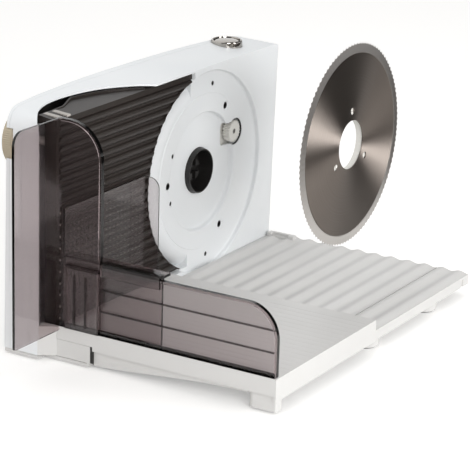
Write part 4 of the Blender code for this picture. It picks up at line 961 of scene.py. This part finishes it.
def cornerFoot(mid):
    t = tray
    nearY, farY = t["frontY"] + t["footY"], t["frontY"] + t["footBackY"]
    leftX, rightX = t["footX"], t["rightX"] - 0.3
    plan = [(leftX, nearY, 6), (rightX, nearY, 2), (rightX, farY, 1.5), (leftX, farY, 2.5)]
    foot = prism("z", t["footZ"], mid, roundedPath(plan, 8))
    nearY, farY = nearY + t["footWall"], farY - t["footWall"] + 0.2
    leftX, rightX = leftX + t["footWall"], t["rightX"] - 2.9
    plan = [(leftX, nearY, 3.5), (rightX, nearY, 1), (rightX, farY, 1), (leftX, farY, 1)]
    return cut(foot, prism("z", -2, t["bandZ"], roundedPath(plan, 8)))


def makeTray():
    t = tray
    front, back, left, right, high = (t[key] for key in ("frontY", "backY", "leftX", "rightX", "highZ"))
    plate = trayTop()
    mid = high - 1.6
    # rims at the left and the right, then the front band in two heights and the right band
    for low, far in (((left, front, high - 1.5), (left + 2.5, back, high)),
                     ((right - 3.0, front + 0.01, high - 1.5), (right, back, high)),
                     ((t["slitX"], front, t["bandZ"]), (right, front + t["wall"], mid)),
                     ((left, front, t["leftBandZ"]), (t["slitX"] + 2, front + t["wall"], mid)),
                     ((right - t["wall"], front, t["bandZ"] - 4.5), (right, back, mid))):
        joined(plate, block(low, far))
    joined(plate, archedSkirt(mid))
    joined(plate, cornerFoot(mid))
    plate = softEdges(plate, 0.45, 3, 50)
    settle(plate, "ribbed_tray", "carriage", warmAbs, ["carriage_tray"], 40)


def floorCopy():
    # the CAD floor in millimetres, its flat faces welded for the cuts
    bm = bmesh.new()
    bm.from_mesh(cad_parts["base_plate"].data)
    bmesh.ops.remove_doubles(bm, verts=bm.verts, dist=0.00001)
    mesh = bpy.data.meshes.new("floor_copy")
    bm.to_mesh(mesh)
    bm.free()
    mesh.transform(Matrix.Scale(1 / mm, 4) @ Matrix.Translation(-place))
    return newObject("floor_copy", mesh)


def makeBase():
    b = base
    plate = floorCopy()
    cut(plate, region(lowX=-9.9, highX=60, highY=-250.4))
    # front block: its tall left corner, then the low apron
    turnX = b["leftX"] + 1.6
    corner = [(b["leftX"], b["frontY"]), (turnX, b["frontY"]), (b["cornerX"], b["stepY"])]
    corner += [(b["cornerX"], b["backY"]), (b["leftX"], b["backY"])]
    apron = [(b["leftX"] + 0.8, b["frontY"]), (turnX, b["frontY"]), (b["cornerX"] + 0.1, b["stepY"] + 0.1)]
    apron += [(b["rightX"], b["stepY"] + 0.2), (b["rightX"], b["backY"]), (b["leftX"] + 0.8, b["backY"])]
    for outline, highZ in ((corner, b["cornerHighZ"]), (apron, b["apronHighZ"])):
        joined(plate, softEdges(prism("z", b["lowZ"], highZ, outline), 0.25, 2, 60))
    settle(plate, "base_floor", "housing", warmAbs, ["base_plate"], 40)
    # painted shade: a black block in the slit between the apron and the tray's skirt
    paintedShade = block((b["rightX"] + 0.1, -249.8, 5.2), (41.0, b["backY"], b["apronHighZ"] - 0.4))
    settle(paintedShade, "gap_painted_shade", "housing", blackAbs, ["base_plate"], 40)


def makeGuideRod():
    low, high = ((end - place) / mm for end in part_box("carriage_rail"))
    reach, frontY = (high.x - low.x) / 2, -247.3
    outline = [(0, high.y), (reach - 0.4, high.y), (reach, high.y - 0.4)]
    outline += [(reach, frontY + 0.4), (reach - 0.4, frontY), (0, frontY)]
    rod = turned("y", ((low.x + high.x) / 2, 0, (low.z + high.z) / 2), outline, 48)
    settle(rod, "guide_rod", "housing", plainSteel, ["carriage_rail"])


makeDeck()
makeTray()
makeBase()
makeGuideRod()
print("deck and tray made")


# Smoked guard and food holder

guard = {
    "t": 2.5, "backY": -246.0, "seatZ": 33.3, "leftX": 4.0, "tallX": 49.0, "lowX": 226.2, "highZ": 222.0,
    "lowHighZ": 96.0, "tallR": 34.0, "lowR": 30.0, "wingFrontY": -316.0, "wingLowZ": 30.0, "wingR": 12.0,
    "rim": 2.2, "rimOut": 2.0, "wingSeatY": -250.8, "gripX": 12.5, "gripHighZ": 92, "gripOut": 4,
    "gripWall": 2.5, "beadHigh": 4.2, "gripRibX": (22.5, 34.5), "gripRibW": 1.8, "gripRibZ": 84,
    "barZ": (54.6, 74.3), "barHigh": 1.5,
}
holder = {
    "leftX": 7.3, "rightX": 110.0, "lowZ": 36.5, "ledgeZ": 96.3, "ledgeY": -233.5, "t": 2.5,
    "plateBackY": -121.0, "plateHighZ": 141.0, "plateX": 24.5, "plateR": 10, "plateLeftX": 7.2,
    "plateRightX": 9.0, "endT": 1.2, "hookLow": 8.5, "hookOut": 2.8, "play": 0.3,
    "hookRimBackY": -243.0, "hookRimHigh": 3.6,
}
spikes = {
    "Across": 84.0, "Up": 108.0, "Columns": 15, "Rows": 19, "Radius": 0.5, "Height": 1.4,
    "Finish": spikeGlintGrey,
}
# painted highlights: a row of pale marks up the guard's corner
paintedGlints = {"Pitch": 10.7, "Count": 10, "Size": (1.0, 0.8, 1.7), "Finish": paleGrey}


def panelPath(leftX, inset, radii):
    # outline of the tall and the low panel; the left end is open to the wing
    g = guard
    low, right, mid = g["seatZ"] + inset, g["lowX"] - inset, g["lowHighZ"] - inset
    high, step = g["highZ"] - inset, g["tallX"] - inset
    return roundedPath([(leftX, low, 0), (right, low, radii[0]), (right, mid, g["lowR"] - inset),
                        (step, mid, radii[1]), (step, high, g["tallR"] - inset), (leftX, high, 0)], 14)


def makeGuard():
    g = guard
    back, front = g["backY"], g["backY"] - g["t"]
    panel = prism("y", front, back, panelPath(g["leftX"], 0, (1.5, 1.5)))
    # bead round the rim of the panels
    bead = prism("y", front - g["rimOut"], back - 0.4, panelPath(g["leftX"], 0, (1.5, 1.5)))
    inner = panelPath(g["leftX"] - 5, g["rim"], (1, 0.5))
    joined(panel, cut(bead, prism("y", front - g["rimOut"] - 1, back + 1, inner)))
    wing = [(g["wingFrontY"], g["wingLowZ"], 1.5), (g["wingSeatY"], g["wingLowZ"], 0)]
    wing += [(g["wingSeatY"], g["seatZ"], 0), (back, g["seatZ"], 0), (back, g["highZ"], 0)]
    wing.append((g["wingFrontY"], g["highZ"], g["wingR"]))
    joined(panel, prism("x", g["leftX"], g["leftX"] + g["t"], roundedPath(wing, 10)))
    # finger grip: a shallow box that stands out of the tall panel
    wall = g["gripWall"]
    high = (g["tallX"] - 0.6, front + 1.2, g["gripHighZ"])
    grip = block((g["gripX"], front - g["gripOut"], g["seatZ"]), high)
    low = (g["gripX"] + wall, front - g["gripOut"] + 1.3, g["seatZ"] - 2)
    cut(grip, block(low, (g["tallX"] - wall, front + 2, g["gripHighZ"] - wall)))
    joined(panel, softEdges(grip, 0.6, 2, 60))
    makeGuardRibs(front)
    panel = softEdges(panel, 0.35, 2, 50)
    settle(panel, "smoked_guard", "carriage", smoke, ["guard"], 40)


def makeGuardRibs(front):
    # thick bead that stands on the tray, and the ribs, in the darker copy of the plastic: painted shade for
    # looking along them
    g = guard
    face, beadZ = front - 0.05, g["seatZ"] + g["beadHigh"]
    low = (g["leftX"] + 2.6, front - 2.0, g["seatZ"] + 0.05)
    lines = [block(low, (g["lowX"] - 1.2, face, beadZ))]
    for x in g["gripRibX"]:
        high = (x + g["gripRibW"], face - g["gripOut"], g["gripRibZ"])
        lines.append(block((x, front - 5.6, beadZ + 0.1), high))
    for z in g["barZ"]:
        high = (g["lowX"] - 2.4, face, z + g["barHigh"])
        lines.append(block((g["tallX"] + 0.2, front - 1.6, z), high))
    ribs = gathered([softEdges(line, 0.25, 2, 60) for line in lines])
    settle(ribs, "guard_ribs", "carriage", shadedSmoke, ["guard"], 40)


def makeHolder():
    h = holder
    front, near, ledge = guard["backY"] - guard["t"], guard["backY"] + h["play"], h["ledgeZ"]
    # section of the hook over the low panel
    section = [(near, h["lowZ"]), (near + h["t"], h["lowZ"]), (near + h["t"], ledge), (h["ledgeY"], ledge)]
    outY, lowZ = front - h["hookOut"], ledge - h["hookLow"]
    section += [(h["ledgeY"], ledge + h["t"]), (outY, ledge + h["t"]), (outY, lowZ)]
    section += [(front - h["play"], lowZ), (front - h["play"], ledge), (near, ledge)]
    pusher = prism("x", h["leftX"], h["rightX"], section)
    cut(pusher, region(highX=guard["tallX"] + 0.6, highY=near - 0.1))
    # plate that carries the spikes, and the end plate at its back
    low, high = h["lowZ"] + 0.1, h["plateHighZ"]
    frontY, backY = near + 0.1, h["plateBackY"]
    side = roundedPath([(frontY, low, 0), (backY, low, 0), (backY, high, 0), (frontY, high, 0)])
    low, high = h["lowZ"] + 0.2, h["plateHighZ"] - 0.1
    end = [(h["leftX"], low, 0), (h["plateX"], low, 0)]
    end += [(h["plateX"], high, h["plateR"]), (h["leftX"], high, 0)]
    plate = prism("x", h["plateLeftX"], h["plateRightX"], side)
    joined(pusher, plate, prism("y", backY - h["endT"], backY, roundedPath(end, 10)))
    pusher = softEdges(pusher, 0.3, 2, 50)
    settle(pusher, "smoked_holder", "holder", smoke, ["food_holder"], 40)
    # the hook's rim in the darker copy of the plastic, painted shade for looking along it
    high = (h["rightX"] - 0.2, h["hookRimBackY"], ledge + h["hookRimHigh"])
    hook = block((guard["tallX"] + 1.2, outY + 0.05, ledge + h["t"] + 0.05), high)
    hook = softEdges(hook, 0.3, 2, 60)
    settle(hook, "holder_hook_rim", "holder", shadedSmoke, ["food_holder"], 40)


def makeRows():
    # small spikes on the plate that holds the food, their pale grey partly painted highlight
    sockets = [(label, "Float") for label in ("Across", "Up", "Radius", "Height")]
    sockets += [("Columns", "Int"), ("Rows", "Int"), ("Finish", "Material")]
    points = grown("spikes", repeater("spike_rows", sockets, spikeRows), spikes)
    # the grid's width runs up the plate and its length along Y
    points.data.transform(Matrix(((0, 0, 1, 8.95), (0, 1, 0, -184.0), (-1, 0, 0, 88.0), (0, 0, 0, 1))))
    settle(points, "holder_spikes", "holder", spikeGlintGrey, ["food_holder"], 40)
    # and pale marks up the guard's corner: painted highlights, for light catching the ends of ridges
    sockets = [("Pitch", "Float"), ("Count", "Int"), ("Size", "Vector"), ("Finish", "Material")]
    marks = grown("paintedGlints", repeater("painted_glint_row", sockets, glintRow), paintedGlints)
    start = (guard["leftX"] + 0.2, guard["backY"] - guard["t"] - 0.3, 40.0)
    marks.data.transform(Matrix.Translation(start))
    settle(marks, "corner_painted_glints", "carriage", paleGrey, ["guard"], 40)


makeGuard()
makeHolder()
makeRows()
print("guard and holder made")


# Blade

blade = {
    "x": 155.3, "z": 168.0, "r": 95.0, "t": 1.2, "bevelR": 85.5, "bevelT": 0.35, "teeth": 112, "perTooth": 6,
    "toothDepth": 1.5, "holeR": 23.0, "pins": 3, "pinCircle": 32.0, "pinR": 3.3,
}


def bladeRing(rings):
    # each ring is a radius, its X, and 1 where it follows the scallops
    b = blade
    count = b["teeth"] * b["perTooth"]

    def spotAt(row, k):
        radius, x, scalloped = row
        turn = math.tau * k / count
        reach = radius - b["toothDepth"] * abs(math.sin(math.pi * k / b["perTooth"])) * scalloped
        return x, reach * math.cos(turn), b["z"] + reach * math.sin(turn)

    return spun(rings, count, spotAt)


def makeBlade():
    b = blade
    front, back, edge = b["x"], b["x"] - b["t"], b["bevelR"]
    disc = bladeRing([
        (b["holeR"], back, 0), (b["holeR"], front - 0.1, 0), (b["holeR"] + 0.1, front, 0),
        (edge - 0.7, front, 0), (edge - 0.3, front - 0.3, 0), (edge, front - 0.3, 0), (edge, back, 0)])
    for k in range(b["pins"]):
        turn = math.pi / 2 + math.tau * k / b["pins"]
        y, z = b["pinCircle"] * math.cos(turn), b["z"] + b["pinCircle"] * math.sin(turn)
        cut(disc, hole(y, z, b["pinR"], back - 2, front + 2, 24))
    settle(disc, "blade_disc", "blade_wheel", bladeSteel, ["blade"], 20)
    # bevel ground on the wheel, brighter than the disc
    bevel = bladeRing([
        (edge + 0.02, back, 0), (edge + 0.02, front - 0.3, 0), (edge + 0.6, front - 0.12, 0),
        (b["r"], front - b["t"] + b["bevelT"], 1), (b["r"], back, 1)])
    settle(bevel, "blade_bevel", "blade_wheel", groundSteel, ["blade"], 20)


makeBlade()
print("blade made")


# Knob and switch

def makeKnob():
    k = knobSpot
    count = k["ridges"] * k["perRidge"]
    r, outX, inX = k["r"], k["outX"], k["inX"]
    # radius, X, share of the ridges' depth
    rows = [(0, outX + 0.8, 0), (r - 7, outX + 0.8, 0), (r - 5, outX, 0), (r - 0.8, outX, 0)]
    rows += [(r - 0.3, outX + 0.2, 0.5), (r, outX + 0.6, 1)]
    rows += [(r, inX - 1.1, 1), (r - 0.8, inX, 0), (0, inX, 0)]

    def spotAt(row, n):
        radius, x, ridged = row
        turn = math.tau * n / count
        reach = radius - k["ridgeDepth"] * ridged * (0.5 - 0.5 * math.cos(math.tau * n / k["perRidge"]))
        return x, k["y"] + reach * math.cos(turn), k["z"] + reach * math.sin(turn)

    knob = spun(rows, count, spotAt)
    settle(knob, "knurled_knob", "knob", champagne, ["thickness_knob"], 30)


def makeSwitch():
    centre = (switch["x"], switch["y"], 0)
    top, seat, low = switch["topZ"], switch["seatZ"] + 0.3, 214.3
    ring = [(13.0, top + 2.6), (13.4, top + 3.9), (14.3, top + 4.2), (15.2, top + 3.6), (15.5, top + 2.2)]
    ring = turned("z", centre, ring + [(15.5, seat), (13.0, seat)], 96)
    settle(ring, "switch_ring", "housing", chrome, ["switch_bezel"], 30)
    dome = [(0, top + 4.4), (4, top + 4.3), (8, top + 3.9), (10.5, top + 3.4), (11.8, top + 2.8)]
    dome = turned("z", centre, dome + [(12.4, top + 1.8), (12.5, top), (12.4, low), (0, low)], 96)
    settle(dome, "switch_cap", "switch", chrome, ["switch_button"], 30)


makeKnob()
makeSwitch()
print("knob and switch made")


# Finishes of the CAD nodes that stay

nodeFinishes = {
    blackAbs: ("hub_sleeve", "lock_socket", "switch_body", "cord_inlet"),
    acetal: ("blade_bush", "drive_pinion", "reduction_wheel", "blade_ring_gear", "rail_slider",
             "runner_left", "runner_right", "knob_shaft"),
    greyRubber: ("foot_front_left", "foot_back_left", "foot_back_right", "foot_front_right"),
    plainSteel: ("drive_shaft", "motor_pinion", "motor_bracket", "fence_guide_low", "fence_guide_high",
                 "cover_screw_front_low", "cover_screw_front_high", "cover_screw_back_low",
                 "cover_screw_back_high"),
    blackened: ("face_screw_1", "face_screw_2", "face_screw_3"),
    bronze: ("shaft_bush", "cover_bush"),
    zincCan: ("motor",),
    boardGreen: ("rectifier_board",),
}
for finish, names in nodeFinishes.items():
    for name in names:
        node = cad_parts[name]
        node.data.materials.clear()
        node.data.materials.append(finish)


# Floor, light and camera

stage = {
    "floor": 6.0, "floorColour": "f4f3f1", "tableColour": "4a4643", "floorGlow": 0.28, "world": 0.69,
    "room": 0.05, "wall": 0.95,
}


def directRay(tree, path):
    # rays that see the ground straight or through the smoked plastic
    return mathNode(tree, "MAXIMUM", (path, "Is Camera Ray"), (path, "Is Transmission Ray"))


def graded(tree, source, start, end, low, high):
    limits = {"From Min": start, "From Max": end, "To Min": low, "To Max": high}
    return addNode(tree, "ShaderNodeMapRange", limits, {"Value": source})


def makeFloor():
    half = stage["floor"] / 2
    mesh = bpy.data.meshes.new("floor")
    corners = [(-half, -half, 0), (half, -half, 0), (half, half, 0), (-half, half, 0)]
    mesh.from_pydata(corners, [], [(0, 1, 2, 3)])
    floor = newObject("floor", mesh)
    paper, tree, shader = plainFinish("white_paper", stage["floorColour"], 0.9)
    shader.inputs["Specular IOR Level"].default_value = 0.1
    shader.inputs["Emission Color"].default_value = (1, 1, 1, 1)
    path = addNode(tree, "ShaderNodeLightPath")
    glow = mathNode(tree, "MULTIPLY", (directRay(tree, path), 0), stage["floorGlow"])
    tree.links.new(glow.outputs[0], shader.inputs["Emission Strength"])
    # mirrors see a sheet that ends on a dimmer table
    coords = addNode(tree, "ShaderNodeTexCoord")
    away = addNode(tree, "ShaderNodeVectorMath", {"operation": "LENGTH"}, {0: (coords, "Object")})
    fade = graded(tree, (away, "Value"), 0.38, 0.62, 0.0, 1.0)
    dimmer = colourMix(tree, (fade, 0), stage["floorColour"], stage["tableColour"])
    paperColour = colourMix(tree, (path, "Is Glossy Ray"), stage["floorColour"], stage["tableColour"])
    tree.links.new(dimmer.outputs[2], paperColour.inputs[7])
    tree.links.new(paperColour.outputs[2], shader.inputs["Base Color"])
    mesh.materials.append(paper)


def makeWorld():
    world = bpy.data.worlds.new("studio")
    bpy.context.scene.world = world
    world.use_nodes = True
    tree = world.node_tree
    sky = tree.nodes["Background"]
    sky.inputs["Color"].default_value = (1, 1, 1, 1)
    path = addNode(tree, "ShaderNodeLightPath")
    where = addNode(tree, "ShaderNodeTexCoord")
    apart = addNode(tree, "ShaderNodeSeparateXYZ", None, {0: (where, "Generated")})
    # mirrors see the white sweep up to the horizon, the dim room above it and a white wall
    room = graded(tree, (apart, "Z"), -0.03, 0.08, 1.0, stage["room"])
    wall = graded(tree, (apart, "X"), -0.05, -0.25, 0.0, stage["wall"])
    mirrored = mathNode(tree, "MAXIMUM", (room, 0), (wall, 0))
    settings = {"data_type": "FLOAT", 2: stage["world"]}
    links = {0: (path, "Is Glossy Ray"), 3: (mirrored, 0)}
    dull = addNode(tree, "ShaderNodeMix", settings, links)
    links = {0: (directRay(tree, path), 0), 2: (dull, 0)}
    power = addNode(tree, "ShaderNodeMix", {"data_type": "FLOAT", 3: 1.0}, links)
    tree.links.new(power.outputs[0], sky.inputs["Strength"])


def areaLight(name, spotAt, target, size, power, mirrored):
    lamp = bpy.data.lights.new(name, "AREA")
    lamp.shape = "RECTANGLE"
    lamp.size, lamp.size_y = size
    lamp.energy = power
    lampObject = bpy.data.objects.new(name, lamp)
    bpy.context.scene.collection.objects.link(lampObject)
    lampObject.location = spotAt
    lampObject.visible_glossy = mirrored
    lampObject.rotation_euler = (Vector(target) - Vector(spotAt)).to_track_quat("-Z", "Y").to_euler()
    return lampObject


view = {
    "x": 1041.5, "y": -1692.6, "z": 687.2, "azimuth": 30.77, "elevation": 17.724, "roll": 1.673,
    "focal": 2144.2, "frame": 470, "sensor": 36.0,
}


def makeCamera():
    az, el, roll = (math.radians(view[k]) for k in ("azimuth", "elevation", "roll"))
    ahead = Vector((-math.sin(az) * math.cos(el), math.cos(az) * math.cos(el), -math.sin(el)))
    right = Vector((math.cos(az), math.sin(az), 0))
    up = right.cross(ahead)
    across = right * math.cos(roll) + up * math.sin(roll)
    above = up * math.cos(roll) - right * math.sin(roll)
    eye = bpy.data.cameras.new("camera")
    eye.sensor_fit = "HORIZONTAL"
    eye.sensor_width = view["sensor"]
    eye.lens = view["focal"] / view["frame"] * view["sensor"]
    eye.clip_end = 50.0
    camera = bpy.data.objects.new("camera", eye)
    bpy.context.scene.collection.objects.link(camera)
    turn = Matrix((across, above, -ahead)).transposed().to_4x4()
    spotAt = place + Vector((view["x"], view["y"], view["z"])) * mm
    camera.matrix_world = Matrix.Translation(spotAt) @ turn
    bpy.context.scene.camera = camera


makeFloor()
makeWorld()
areaLight("top_box", (-0.2, 0.6, 1.4), (0.0, 0.0, 0.1), (1.2, 1.0), 2.5, False)
areaLight("right_box", (1.65, 0.11, 0.40), (0.0, 0.05, 0.16), (0.6, 0.7), 8.0, True)
areaLight("front_box", (1.45, -1.25, 0.75), (0.0, 0.0, 0.12), (0.9, 0.8), 19.0, True)
makeCamera()
bpy.context.scene.view_settings.view_transform = "Standard"
print("stage, light and camera made")
